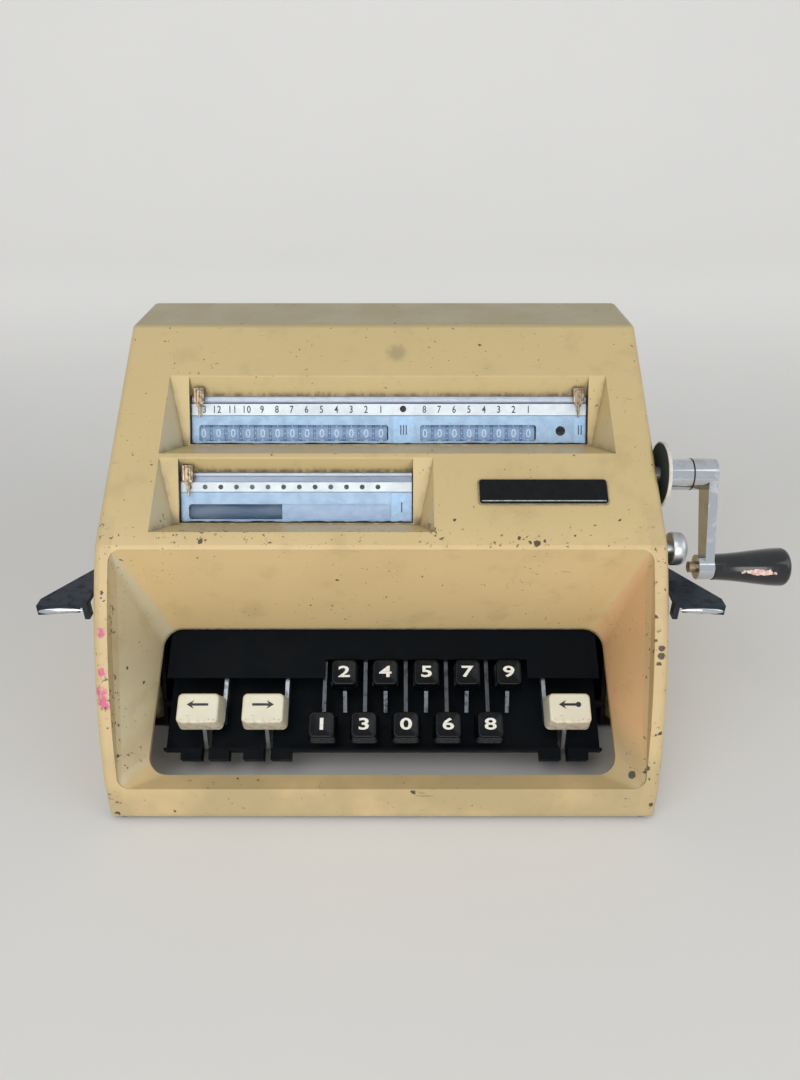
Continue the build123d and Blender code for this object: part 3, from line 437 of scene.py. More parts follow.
def baked_enamel(look):
    """Cream enamel, sprayed on pressed steel and baked: a satin coat with a faint orange peel. The eye sees slight tone
    changes, soft dirt and painted shade in corners, sparse dark chips where steel shows, rubbed edges, and painted
    light and shade on some faces."""
    material, tree = blank("baked cream enamel", IOR=1.5, Coat_Weight=0.12, Coat_Roughness=0.25)
    at = place_of(tree)
    x, depth, height = add_node(tree, "SeparateXYZ", {0: at}).outputs
    normal = add_node(tree, "NewGeometry").outputs["Normal"]
    facing = add_node(tree, "SeparateXYZ", {0: normal}).outputs["X"]
    # Painted reflected light: the enamel low on the front is made warmer, standing in for warm light bounced up from
    # below
    front = ranged(depth, -0.02, -0.06)
    low_front_glow = times(front, ranged(height, 0.142, 0.125))
    colour = blended(low_front_glow, look.enamel, look.warm_enamel)
    # Painted light and shade in the recess over the keys: its left wall is made grey as painted shade, and its right
    # wall is made pinkish as painted light
    greyed = times(ranged(facing, 0.35, 0.6), reckon("LESS_THAN", x, CASE_X + WALL_INSIDE))
    colour = tinted(colour, greyed, 0.8, "#CFC8AB")
    lit_wall_glow = times(ranged(facing, -0.35, -0.6), reckon("LESS_THAN", height, 0.13),
                  reckon("GREATER_THAN", x, CASE_X - WALL_INSIDE))
    colour = tinted(colour, lit_wall_glow, 0.7, "#E0AE80")
    # Painted reflection: the flat roof is made greyer, standing in for the dark surroundings that it mirrors at a
    # grazing angle. The bar at the front's foot is made greyer in 40 mm patches
    colour = tinted(colour, ranged(height, ROOF - 0.0015, ROOF), 0.6, "#8B8871")
    foot = times(front, ranged(height, 0.046, 0.030), patches(at, 40, 0.2, 0.6))
    colour = tinted(colour, foot, 0.85, "#B3A077")
    # The two uprights of the front frame are a little greyer than the walls beside them
    upright = reckon("SUBTRACT", 1.0, reckon("COMPARE", x, CASE_X, 0.1285))
    side_edge = times(reckon("LESS_THAN", depth, -0.052), upright)
    colour = tinted(colour, side_edge, 0.5, "#C4AE82")
    # Broad tone patches about 60 mm wide and hand-sized smudges about 18 mm wide
    colour = tinted(colour, patches(at, 60, 0.35, 0.75), 0.16, "#B39C69")
    colour = tinted(colour, patches(at, 18, 0.52, 0.72, 5.0), 0.22, "#A08C5F")
    # Dirt and painted shade gather where surfaces meet: darker where ambient light is blocked, in a band about 7 mm
    # wide, broken up in 4 mm patches
    corner = add_node(tree, "AmbientOcclusion", {"Distance": 0.007}, samples=6).outputs["AO"]
    corner = ranged(corner, 0.90, 0.45)
    smear = patches(place_of(tree, (1.0, 1.0, 0.35)), 4, 0.30, 0.62, 6.0, 0.7)
    dirt = times(corner, reckon("MULTIPLY_ADD", smear, 0.75, 0.3))
    # Thin scuffs about 2 mm high and 12 mm long, where things were set down on the case
    scuff = times(patches(place_of(tree, (0.16, 1.0, 1.0)), 2.0, 0.66, 0.74, 4.0), patches(at, 34, 0.46, 0.62))
    colour = tinted(colour, scuff, 0.6, "#77653F")
    # Dirt together with painted shade, darkest deep in the corners
    colour = tinted(colour, dirt, 0.85, look.grime)
    # One grey stain on the panel, about 14 mm wide
    colour = tinted(colour, spots(at, STAIN, 1.2, 0.75), 0.42, "#6F6A58")
    # A dry pink smear on the left edge, streaked downwards in 2 mm strokes
    pink = times(spots(at, PINK_SMEARS, 1.0, 0.5), patches(place_of(tree, (1.0, 1.0, 0.3)), 2.5, 0.34, 0.5, 4.0))
    colour = tinted(colour, pink, 0.85, "#D24C86")
    # Fine dark specks about 0.8 mm wide, thicker inside patches about 25 mm wide
    speck = times(patches(at, 2.2, 0.695, 0.725, 2.0), patches(at, 25, 0.40, 0.58))
    # Knocked edges: the two sides of the front frame, the ridge and the foot have lost their coat in 2 mm patches
    ridge = reckon("COMPARE", height, RIDGE, 0.0032)
    sill = reckon("COMPARE", height, SILL, 0.004)
    edge = most(side_edge, times(front, most(ridge, sill)))
    worn = times(edge, patches(at, 2.6, 0.60, 0.64, 4.0, 0.65), patches(at, 16, 0.46, 0.56))
    chips = most(spots(at, CHIPS, 0.7, 0.25), speck, worn)
    colour = tinted(colour, chips, 0.9, look.bare_metal)
    # Painted shade: inside, the faces of the side walls are made near black
    right = times(reckon("GREATER_THAN", x, CASE_X + SKIN_INSIDE), reckon("LESS_THAN", facing, -0.9))
    left = times(reckon("LESS_THAN", x, CASE_X - SKIN_INSIDE), reckon("GREATER_THAN", facing, 0.9))
    inside = times(most(right, left), reckon("GREATER_THAN", depth, -0.06))
    colour = blended(inside, colour, "#15130F")
    # Orange peel about 1.5 mm across, drawn a little coarser than life so that it shows
    peel = add_node(tree, "TexNoise", {"Vector": at, "Scale": 650.0, "Detail": 1.0})
    surface = reckon("SUBTRACT", peel.outputs["Fac"], chips)
    gloss = graded(patches(at, 30, 0.3, 0.7), 0.34, 0.48)
    return linked(material, Base_Color=colour, Roughness=most(gloss, times(dirt, 0.7)), Normal=dented(surface, 0.06))


def plain_finish(name, colour, second, rough, size_mm, share=0.5, depth_mm=0.02, stretch=(1, 1, 1), **sockets):
    """A finish with two tones in patches of one real size, a roughness that varies with them and a fine bump."""
    material, tree = blank(name, **sockets)
    at = place_of(tree, stretch)
    tone = patches(at, size_mm, 0.35, 0.68, 4.0, 0.6)
    fine = patches(at, size_mm / 6, 0.3, 0.7, 3.0)
    return linked(material, Base_Color=tinted(colour, tone, share, second),
                  Roughness=graded(tone, *rough), Normal=dented(fine, depth_mm, 0.4))


def brushed_steel(name, colour, second, rough, across=(1.0, 12.0, 12.0)):
    """Stamped steel, brushed along one way: fine lines about 0.4 mm apart, drawn coarser than life, and dull
    oxide in patches."""
    material, tree = blank(name, Metallic=1.0)
    lines = patches(place_of(tree, across), 5, 0.3, 0.7, 2.0)
    oxide = patches(place_of(tree), 4, 0.45, 0.68, 5.0, 0.65)
    return linked(material, Base_Color=tinted(colour, oxide, 0.6, second),
                  Roughness=graded(oxide, *rough), Normal=dented(lines, 0.03))


def polished_chrome(look):
    """Nickel and chrome plate, polished: mirror-like, with a few dull pits about 0.5 mm wide and a brownish film
    in patches where hands don't rub it."""
    material, tree = blank("polished chrome plate", Metallic=1.0)
    at = place_of(tree)
    film = patches(at, 9, 0.48, 0.7, 4.0)
    pits = patches(at, 1.4, 0.68, 0.73, 2.0)
    colour = tinted(look.chrome, film, 0.3, "#8E8578")
    colour = tinted(colour, pits, 0.6, "#4B443C")
    return linked(material, Base_Color=colour,
                  Roughness=reckon("MULTIPLY_ADD", most(film, pits), 0.22, 0.09), Normal=dented(pits, -0.03))


def worn_brass(look):
    """Cast or stamped brass, lacquer gone: warm metal with brown tarnish in patches about 2 mm wide."""
    material, tree = blank("worn brass", Metallic=1.0)
    tarnish = patches(place_of(tree), 2.4, 0.4, 0.66, 5.0, 0.65)
    return linked(material, Base_Color=tinted(look.brass, tarnish, 0.75, "#574838"),
                  Roughness=graded(tarnish, 0.28, 0.6), Normal=dented(tarnish, 0.05, 0.4))


def turned_grip(look):
    """Black plastic, turned and polished: glossy, with rubbed bands and one worn pinkish patch on the front."""
    material, tree = blank("turned black phenolic", IOR=1.55, Coat_Weight=0.3, Coat_Roughness=0.12)
    at = place_of(tree)
    # The worn patch: its middle on the grip's front, its spread along each axis and its ragged edge
    low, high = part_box("crank_grip")
    middle = (low + high) / 2
    local = add_node(tree, "VectorMath", {0: at, 1: (middle.x + 0.0018, low.y, middle.z + 0.0020)},
                     operation="SUBTRACT").outputs[0]
    flat = add_node(tree, "VectorMath", {0: local, 1: (0.20, 0.35, 1.0)}, operation="MULTIPLY")
    away = add_node(tree, "VectorMath", {0: flat.outputs[0]}, operation="LENGTH").outputs["Value"]
    ragged = add_node(tree, "TexNoise", {"Vector": at, "Scale": 420.0, "Detail": 4.0}).outputs["Fac"]
    patch = reckon("LESS_THAN", away, reckon("MULTIPLY_ADD", ragged, 0.0026, 0.0003))
    rub = patches(place_of(tree, (1.0, 0.3, 0.3)), 5, 0.45, 0.75, 5.0)
    flesh = blended(patches(at, 1.6, 0.42, 0.58), "#D8A396", "#E9D2C8")
    colour = blended(patch, tinted(look.grip, rub, 0.18, "#3A3E46"), flesh)
    return linked(material, Base_Color=colour, Roughness=most(graded(rub, 0.10, 0.28), times(patch, 0.6)),
                  Normal=dented(reckon("MULTIPLY_ADD", rub, 0.2, patch), -0.15, 0.4))


def clear_acrylic():
    """Cast acrylic sheet, aged: nearly clear, with a cold sheen and dust in patches about 20 mm wide."""
    material, tree = blank("clear acrylic", IOR=1.49, Specular_IOR_Level=0.9)
    dust = patches(place_of(tree, (0.35, 1, 1)), 7, 0.4, 0.75, 5.0)
    return linked(material, Base_Color=blended(dust, "#E6F0FB", "#D5E4F6"),
                  Alpha=graded(dust, 0.02, 0.08), Roughness=graded(dust, 0.04, 0.22))


def worn_ivory(look):
    """Cream key plastic, moulded and handled for decades: soft gloss, brown rub marks on the front skirt in 3 mm
    patches, and fine cracks."""
    material, tree = blank("moulded ivory urea", IOR=1.52, Subsurface_Weight=0.04, Subsurface_Scale=0.002)
    at = place_of(tree)
    front = ranged(add_node(tree, "SeparateXYZ", {0: at}).outputs["Y"], -0.004, -0.0085)
    rub = times(front, patches(at, 3.2, 0.42, 0.66, 6.0, 0.7))
    dirt = patches(at, 1.6, 0.64, 0.72, 4.0)
    colour = tinted(look.ivory, patches(at, 8, 0.4, 0.7), 0.25, "#D8CCA8")
    colour = tinted(colour, rub, 0.75, "#BE9273")
    colour = tinted(colour, dirt, 0.6, "#5B4A38")
    return linked(material, Base_Color=colour, Roughness=graded(rub, 0.30, 0.55),
                  Normal=dented(most(rub, dirt), -0.08))


def zinc_steel():
    """Sheet steel, zinc plated and dulled: pale grey metal with soft spangle in 6 mm patches."""
    return plain_finish("zinc plated steel", "#A5A6A3", "#7C7B75", (0.32, 0.5), 6, Metallic=1.0)


def screw_steel():
    """Blued steel, its colour rubbed to brown in 1 mm patches."""
    return plain_finish("blued screw steel", "#1A1C20", "#4A4238", (0.3, 0.5), 0.8, Metallic=0.9)


def ink():
    """Printer's ink: dark slate, a little thin in 1 mm patches."""
    return plain_finish("printed slate ink", "#10151D", "#2B3542", (0.45, 0.6), 1.2, 0.35)


def blue_card(look):
    """Printed card behind varnish: flat sky blue, faintly mottled in 3 mm patches."""
    return plain_finish("printed blue card", look.field, "#97BCE6", (0.35, 0.5), 3)


READY = {}


def shared(make, *look):
    """A finish that several operators use, made once."""
    if make not in READY:
        READY[make] = make(*look)
    return READY[make]


# --- the pieces, one operator for each or for each group of like pieces ---
class CaseOperator(bpy.types.Operator):
    """Dress the pressed case, its base, feet and screws"""
    bl_idname = "calculator.case"
    bl_label = "Case"

    def execute(self, context):
        dress(baked_enamel(context.scene.calculator_case), "housing")
        # Black enamel on sheet steel, dull underneath and dusty in 10 mm patches
        dress(plain_finish("sprayed black enamel", "#17181A", "#2B2A27", (0.42, 0.62), 10, IOR=1.5), "base_plate",
              bevel_mm=0.3)
        # Moulded nitrile rubber: matt, greyed where it rubs
        dress(plain_finish("moulded nitrile rubber", "#1B1A19", "#3A3733", (0.75, 0.9), 2.5, IOR=1.5), "feet",
              bevel_mm=0.8)
        dress(shared(zinc_steel), "case_screws", bevel_mm=0.3)
        return {"FINISHED"}


class NameplateOperator(bpy.types.Operator):
    """Finish the bare black nameplate, its fine line and the pale bed that it is stuck to"""
    bl_idname = "calculator.nameplate"
    bl_label = "Nameplate"

    def execute(self, context):
        look = context.scene.calculator_case
        # Gloss lacquer on a stamped plate: near black, with faint handling smears 5 mm wide
        lacquer = plain_finish("lacquered black plate", "#040506", "#0B0D10", (0.12, 0.3), 5, IOR=1.5,
                               Specular_IOR_Level=0.25)
        dress(lacquer, "nameplate", bevel_mm=0.5)
        face = slope("nameplate", PANEL_SLOPE)
        low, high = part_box("nameplate")
        left, right = (low.x - CASE_X) / MM, (high.x - CASE_X) / MM
        foot = -12.1
        line = slab(None, left + 1.0, right - 1.0, foot, foot + look.plate_line / MM, -0.2, 0.06)
        # White filled line, slightly yellowed and rubbed through in 3 mm patches
        white = plain_finish("filled white line", "#C9CBCB", "#6E7072", (0.4, 0.6), 3, 0.7)
        piece("nameplate_line", line, white, "case", face)
        bed = lofted(None, [rounded_ring(32.0, 7.1, 1.8, z, (left + right) / 2, -6.5) for z in (-1.3, -0.7)])
        # Glue squeezed out from behind the plate: yellowish and dull
        glue = plain_finish("dried glue", "#A3966F", "#857A5C", (0.5, 0.7), 3, 0.8)
        piece("nameplate_bed", bed, glue, "case", face, bevel_mm=0.1)
        return {"FINISHED"}


def label_plate(name, node, left, right, start, end, marks, look):
    """A pale blue field with upright strokes, let into a window's mask. Start and end are down from its top."""
    face, across, down = slope(node, RECESS_SLOPE), (left + right) / 2, -(start + end) / 2
    field = lofted(None, [rounded_ring((right - left) / 2, (end - start) / 2, 0.4, z, across, down)
                          for z in (-0.3, 0.18)])
    piece(name + "_field", field, shared(blue_card, look), "case", face, bevel_mm=0.08)
    strokes, gap, half_wide, half_tall = bmesh.new(), 1.45, 0.29, 2.5
    for i in range(marks):
        x = across + (i - (marks - 1) / 2) * gap
        slab(strokes, x - half_wide, x + half_wide, down - half_tall, down + half_tall, 0.1, 0.24)
    piece(name + "_strokes", strokes, shared(ink), "case", face)


class WindowOperator(bpy.types.Operator):
    """Finish the two windows: panes, masks, strips, scale, pointers and seals"""
    bl_idname = "calculator.windows"
    bl_label = "Windows"

    def execute(self, context):
        look, metal = context.scene.calculator_registers, context.scene.calculator_metal
        dress(clear_acrylic(), "upper_window", "lower_window", bevel_mm=0.3)
        # Celluloid strip, printed: cool white, yellowed and scuffed in 9 mm patches
        dress(plain_finish("printed celluloid", look.scale, "#CBD2DA", (0.3, 0.45), 9, IOR=1.5),
              "upper_scale", "dot_bar", bevel_mm=0.15)
        # Sprayed steel mask: pale blue enamel, dusty in 6 mm patches
        dress(plain_finish("sprayed blue enamel", look.mask, "#86A3C8", (0.38, 0.55), 6, IOR=1.5),
              "upper_mask", "lower_mask", bevel_mm=0.15)
        # Enamelled shutter, rubbed by its slide: the same blue, duller in 4 mm patches
        dress(plain_finish("brushed blue shutter", "#A9C4E4", "#94B0D2", (0.35, 0.5), 4), "shutter")
        # Each pointer is a blade with two ribs at its head and one along it
        blade = [(0.0, 3.0), (-5.6, 2.8), (-8.4, 2.0), (-10.4, 0.9), (-look.pointer_length / MM, 0.4)]
        for name in ("upper_left", "upper_right", "lower"):
            node = f"{name}_pointer"
            form = plate(None, [(-w, y) for y, w in blade] + [(w, y) for y, w in reversed(blade)], -0.9, 0.0)
            for x in (-2.1, 2.1):
                lofted(form, [rounded_ring(0.75 - inset, 3.9 - inset, 0.5 - inset, z, x, -4.0) for inset, z in
                              ((0.0, -0.1), (0.0, 0.45), (0.12, 0.65), (0.35, 0.75))])
            lofted(form, [rounded_ring(0.5 - inset, 5.2 - inset, 0.4 - inset, z, 0.0, -7.6) for inset, z in
                          ((0.0, -0.1), (0.0, 0.25), (0.2, 0.4))])
            face = slope(node, RECESS_SLOPE) @ moved(aside_mm(node), 0)
            piece(f"{node}_stamping", form, shared(worn_brass, metal), f"{node}_slider", face,
                  [node], bevel_mm=0.15)

        upper, lower = slope("upper_scale", RECESS_SLOPE), slope("dot_bar", RECESS_SLOPE)
        numerals = bmesh.new()
        for first, count in ((-96.4, 13), (22.0, 8)):
            for i in range(count):
                glyphs(numerals, str(count - i), look.numeral_height / MM, 0.08, first + i * PITCH, -2.9, wide=0.8,
                       bold=0.012, gap=1.2)
        piece("upper_scale_numerals", numerals, shared(ink), "case", upper)
        dots, wider = bmesh.new(), 1.0055
        for i in range(13):
            turned(dots, ((1.25, -0.2), (1.25, 0.05), (1.0, 0.14)), 20, -97.9 + i * PITCH * wider, -2.4)
        piece("lower_bar_dots", dots, shared(ink), "case", lower)

        # The patch of brushed-on white paint round the screw between the two scales, with its ragged edge
        draw, sides, screw_x = random.Random(7), 26, 10.6
        edge = []
        for i in range(sides):
            angle = 2 * pi * i / sides
            far = 1 + draw.uniform(-0.12, 0.12)
            edge.append((screw_x + 7.2 * far * cos(angle), -2.9 + 2.8 * far * sin(angle)))
        white = plain_finish("touched-up white paint", "#EEF3F8", "#D5DCE3", (0.4, 0.6), 2)
        piece("scale_screw_patch", plate(None, edge, -0.2, 0.12), white, "case", upper)
        screw = turned(None, ((1.7, 0.0), (1.7, 0.3), (1.35, 0.55), (1.0, 0.5), (0.75, 0.2)), 28, screw_x, -2.7)
        piece("scale_screw", screw, shared(screw_steel), "case", upper)

        label_plate("third", "upper_mask", 5.3, 16.5, 0.2, 14.6, 3, look)
        label_plate("second", "upper_mask", 102.2, UPPER_RIGHT, 0.2, 14.6, 2, look)
        label_plate("first", "lower_mask", 4.6, LOWER_RIGHT, 0.4, 14.8, 1, look)

        # Painted light: clear acrylic beads along the tops of the panes are given the pale grey-blue that they show
        # where they catch the light. Painted shade: a grey strip under the lower one stands in for the shaded gap there
        bead = plain_finish("acrylic bead with painted light", "#C3CDDF", "#A3AFC4", (0.12, 0.25), 8, IOR=1.49, Coat_Weight=0.5)
        for name, right, high in (("upper", UPPER_RIGHT, 3.3), ("lower", LOWER_RIGHT, 2.0)):
            profile = [(-0.1, -3.2)] + [(-high / 2 + high / 2 * cos(a), -2.6 + 1.1 * sin(a))
                                        for a in (0.0, 0.5, 1.0, pi / 2, 2.1, 2.6, pi)] + [(-high + 0.1, -3.2)]
            form = lofted(None, [[Vector((x, y, z)) for y, z in profile] for x in (WINDOW_LEFT, right)])
            piece(name + "_window_bead", form, bead, "case", slope(name + "_window", RECESS_SLOPE))
        # Painted shade: this grey strip fills the shaded gap under the lower bead
        gap = slab(None, WINDOW_LEFT, LOWER_RIGHT, -4.7, -2.1, -2.9, -2.3)
        shade = plain_finish("grey strip of painted shade", "#7F8C9F", "#626E80", (0.3, 0.45), 12, stretch=(0.2, 1, 1),
                             Metallic=0.4)
        piece("lower_window_shade_strip", gap, shade, "case", slope("lower_window", RECESS_SLOPE))

        # Matt black felt seals down the ends and along the foot of each opening, uneven where they have shrunk
        felt = plain_finish("pressed black felt", "#1B1713", "#3B3226", (0.85, 0.95), 1.5, 0.7, 0.1)
        for name, left, right, tall in (("upper", -102.35, 108.0, 25.4), ("lower", -102.35, 15.0, 25.2)):
            seals, steps = bmesh.new(), 14
            for x in (left, right):
                outline = [(x, -tall * i / steps) for i in range(steps + 1)]
                outline += [(x + 0.42 + draw.uniform(-0.16, 0.14), -tall * i / steps) for i in range(steps, -1, -1)]
                plate(seals, outline, -0.4, 0.7)
            steps = 60
            foot = [(left, -tall - 0.1), (right, -tall - 0.1)]
            foot += [(left + (right - left) * i / steps, -tall + 0.55 + draw.uniform(-0.3, 0.25))
                     for i in range(steps, -1, -1)]
            plate(seals, foot, -0.4, 0.5)
            piece(name + "_window_seals", seals, felt, "case", slope(name + "_window", RECESS_SLOPE))
        return {"FINISHED"}


class RegisterOperator(bpy.types.Operator):
    """Number the register wheels and finish the setting drum"""
    bl_idname = "calculator.registers"
    bl_label = "Registers"

    def execute(self, context):
        look = context.scene.calculator_registers
        # Moulded number wheels: matt blue-grey with a dusty bloom in 4 mm patches
        dress(plain_finish("moulded blue wheels", look.wheel, "#6C89B0", (0.45, 0.6), 4, IOR=1.5),
              "result_wheels", "counter_wheels", bevel_mm=0.3)
        # Painted shade: the drum is made deep blue, streaked round its axis, so that the slots look dark
        dress(plain_finish("deep blue drum", "#35587B", "#426488", (0.4, 0.55), 9, stretch=(0.15, 1, 1)),
              "setting_drum", bevel_mm=0.3)
        # Paint filled into the numerals: pale, thin in 1.5 mm patches. The moulded collars are darker than the wheels.
        pale = plain_finish("filled white numerals", "#D5E6F7", "#B5CCE6", (0.4, 0.55), 1.5)
        collar = plain_finish("moulded collar", "#6F8FB8", "#5F7DA4", (0.45, 0.6), 2, IOR=1.5)
        low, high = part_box("result_wheels")
        radius = (high.z - low.z) / 2 / MM
        axis = Vector((CASE_X, (low.y + high.y) / 2, (low.z + high.z) / 2))
        turn = Matrix.Translation(axis) @ Matrix.Rotation(radians(RECESS_SLOPE), 4, "X")
        # Between neighbouring wheels stands a collar with pale ticks round its rim
        rim = radius - 0.3
        rims = [(radius - 1.6, -0.76), (radius - 0.5, -0.76), (rim, -0.5), (rim, 0.5), (radius - 0.5, 0.76),
                (radius - 1.6, 0.76)]
        ticks, tick = 20, ((0.34, -0.2), (0.34, 0.1), (0.2, 0.18))
        for name, first, count in (("result", -96.4, 13), ("counter", 22.4, 8)):
            body, form, collars, marks = name + "_wheels_row", bmesh.new(), bmesh.new(), bmesh.new()
            for i in range(count):
                for digit in range(10):
                    glyphs(form, str(digit), look.wheel_numeral_height / MM, 0.12, first + i * PITCH, wide=0.85,
                           bold=0.01, bend=(radius - 0.04, digit * 2 * pi / 10))
            for i in range(count - 1):
                middle = first + (i + 0.5) * PITCH
                lofted(collars, [[Vector((middle + z, p.x, p.y)) for p in circle_ring(r, 0, 60)] for r, z in rims])
                for number in range(ticks):
                    angle = number * 2 * pi / ticks
                    at = Vector((middle, rim * sin(angle), rim * cos(angle)))
                    spin = Matrix.Rotation(-angle, 3, "X")
                    lofted(marks, [[at + spin @ p for p in circle_ring(r, z, 8)] for r, z in tick])
            piece(name + "_wheel_numerals", form, pale, body, turn, smooth=20.0)
            piece(name + "_wheel_collars", collars, collar, body, turn)
            piece(name + "_wheel_ticks", marks, pale, body, turn)
        return {"FINISHED"}


def key_form(half_x, half_y, tall, dish, edge):
    """A key cap: a skirt that narrows upwards, a soft top edge and a dished top. Gives the half sizes of its top."""
    taper, corner, shoulder = 1.25, 2.6, 0.86
    rings = []
    for z, share in ((-tall, 0.0), (-tall + 0.5, 0.02), (-tall * 0.5, 0.5), (-edge, shoulder)):
        inset = taper * share
        rings.append(rounded_ring(half_x - inset, half_y - inset, corner, z))
    for angle in (0.35, 0.8, 1.2, pi / 2):
        inset = taper * shoulder + edge * (1 - cos(angle)) * 0.8
        rings.append(rounded_ring(half_x - inset, half_y - inset, corner - 0.5 * sin(angle),
                                  -edge * (1 - sin(angle))))
    top_x, top_y = half_x - taper * shoulder - edge * 0.8, half_y - taper * shoulder - edge * 0.8
    for share in (0.93, 0.8, 0.6, 0.4, 0.2, 0.05):
        rings.append(rounded_ring(top_x * share, top_y * share, 2.1 * share, -dish * (1 - share * share)))
    return lofted(None, rings), (top_x, top_y)


def laid(form, half, dish):
    """Lay flat type on a dished key top, and sink its underside below the skin."""
    for v in form.verts:
        x, y = v.co.x / MM, v.co.y / MM
        hollow = -dish * (1 - min(1.0, max(abs(x) / half[0], abs(y) / half[1])) ** 2)
        v.co.z = (hollow + (0.12 if v.co.z > 0.1 * MM else -0.3)) * MM
    return form


class KeyOperator(bpy.types.Operator):
    """Make the key caps with their digits and arrows, and finish the levers, cover and bed"""
    bl_idname = "calculator.keys"
    bl_label = "Keys"

    def execute(self, context):
        look = context.scene.calculator_keys
        # Black phenolic, moulded and polished by fingers: glossy tops, duller skirts
        black = plain_finish("moulded black phenolic", look.black, "#0A0D12", (0.16, 0.34), 4, IOR=1.55,
                             Specular_IOR_Level=0.16)
        # The digits are a second shot of white plastic, faintly yellowed in 1.5 mm patches
        legend = plain_finish("second-shot white", look.legend, "#CFCDBF", (0.3, 0.45), 1.5, IOR=1.5)
        dish, half_cap = look.dish / MM, 7.75
        for digit in range(10):
            cap, body = f"digit_cap_{digit}", f"digit_key_{digit}"
            face = slope(cap, KEY_SLOPE) @ moved(aside_mm(cap), -half_cap)
            form, half = key_form(half_cap, half_cap, 10.0, dish, 1.1)
            piece(f"digit_{digit}_cap", form, black, body, face, [cap], smooth=50.0)
            mark = glyphs(bmesh.new(), str(digit), look.digit_height / MM, 0.3, 0.0, 0.4, wide=1.58, bold=0.02)
            piece(f"digit_{digit}_legend", laid(mark, half, dish), legend, body, face)

        ivory = worn_ivory(look)
        # Hot-stamped foil: flat black, thin in 1.5 mm patches
        stamp = plain_finish("hot-stamped black", "#14130F", "#2C2A24", (0.35, 0.5), 1.5)
        arrow = [(-5.7, 0.0), (-2.0, -2.15), (-2.9, -0.62), (5.4, -0.62), (5.4, 0.62), (-2.9, 0.62), (-2.0, 2.15)]
        dish, half_long, half_cap, raised = dish * 0.5, 11.7, 8.75, 0.8
        # Each ivory cap sits a little to one side on its lever, as the photograph shows
        for name, turn, tail, aside in (("left", 1, False, -1.6), ("second", -1, False, -0.8),
                                        ("right", 1, True, 1.2)):
            cap, body = f"{name}_function_cap", f"{name}_function_key"
            face = slope(cap, KEY_SLOPE) @ moved(aside_mm(cap) + aside, raised - half_cap)
            form, half = key_form(half_long, half_cap, 12.0, dish, 1.3)
            piece(f"{body}_cap", form, ivory, body, face, [cap], smooth=50.0)
            mark = plate(None, [(x * turn, y * turn + 1.8) for x, y in arrow], 0.0, 0.2)
            if tail:
                turned(mark, ((1.35, 0.0), (1.35, 0.2)), 24, 4.4, 1.8)
            piece(f"{body}_arrow", laid(mark, half, dish), stamp, body, face)

        # The digit levers are made dark, the function levers bare and pale
        dress(brushed_steel("dark lever steel", "#53575B", "#26282B", (0.3, 0.5)),
              *[f"digit_lever_{digit}" for digit in range(10)], bevel_mm=0.25)
        dress(brushed_steel("stamped lever steel", context.scene.calculator_metal.steel, "#6E6E6B", (0.35, 0.6)),
              *[f"{name}_function_lever" for name in ("left", "second", "right")], bevel_mm=0.25)
        # Black enamel with a blue cast, dusty in 14 mm patches and nearly without sheen
        floor = plain_finish("sprayed blue-black enamel", "#02060A", "#060E16", (0.45, 0.6), 14, IOR=1.5,
                             Specular_IOR_Level=0.08)
        dress(floor, "key_cover", "key_bed", bevel_mm=0.5)
        return {"FINISHED"}


class CrankOperator(bpy.types.Operator):
    """Finish the crank, its disc, joint ring, pin and grip"""
    bl_idname = "calculator.crank"
    bl_label = "Crank"

    def execute(self, context):
        metal = context.scene.calculator_metal
        chrome = shared(polished_chrome, metal)
        dress(chrome, "crank_sleeve")
        dress(chrome, "crank_arm", bevel_mm=0.5)
        dress(shared(zinc_steel), "crank_shaft")
        # Turned nylon: off-white, greyed by oily fingers in 3 mm patches
        dress(plain_finish("turned white nylon", "#DDD8D0", "#B2A794", (0.35, 0.5), 3, IOR=1.53), "crank_disc",
              bevel_mm=0.4)
        dress(shared(worn_brass, metal), "grip_pin", bevel_mm=0.6)
        dress(turned_grip(metal), "crank_grip", bevel_mm=0.8)

        low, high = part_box("crank_disc")
        back = turned(None, ((15.3, -0.35), (15.9, -0.15), (15.9, 0.02)))
        # Pressed felt behind the disc: dark green, matt
        green = plain_finish("dark green felt", "#1D2623", "#2F3833", (0.8, 0.95), 1.5, 0.6, 0.1)
        piece("crank_disc_felt", back, green, "crank", axle(low.x, low, high))
        sleeve_low, sleeve_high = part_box("crank_sleeve")
        radius = (sleeve_high.z - sleeve_low.z) / 2 / MM
        proud = radius + 0.12
        joint = turned(None, ((radius - 0.5, -0.5), (proud, -0.35), (proud, 0.35), (radius - 0.5, 0.5)))
        piece("crank_joint_ring", joint, shared(screw_steel), "crank", axle(sleeve_high.x, low, high))
        low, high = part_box("crank_grip")
        washer = turned(None, ((5.4, -0.3), (6.2, -0.1), (6.2, 0.25), (5.6, 0.38)), 48)
        piece("grip_washer", washer, shared(zinc_steel), "crank", axle(low.x, low, high) @ moved(0, 0, -0.4))
        return {"FINISHED"}


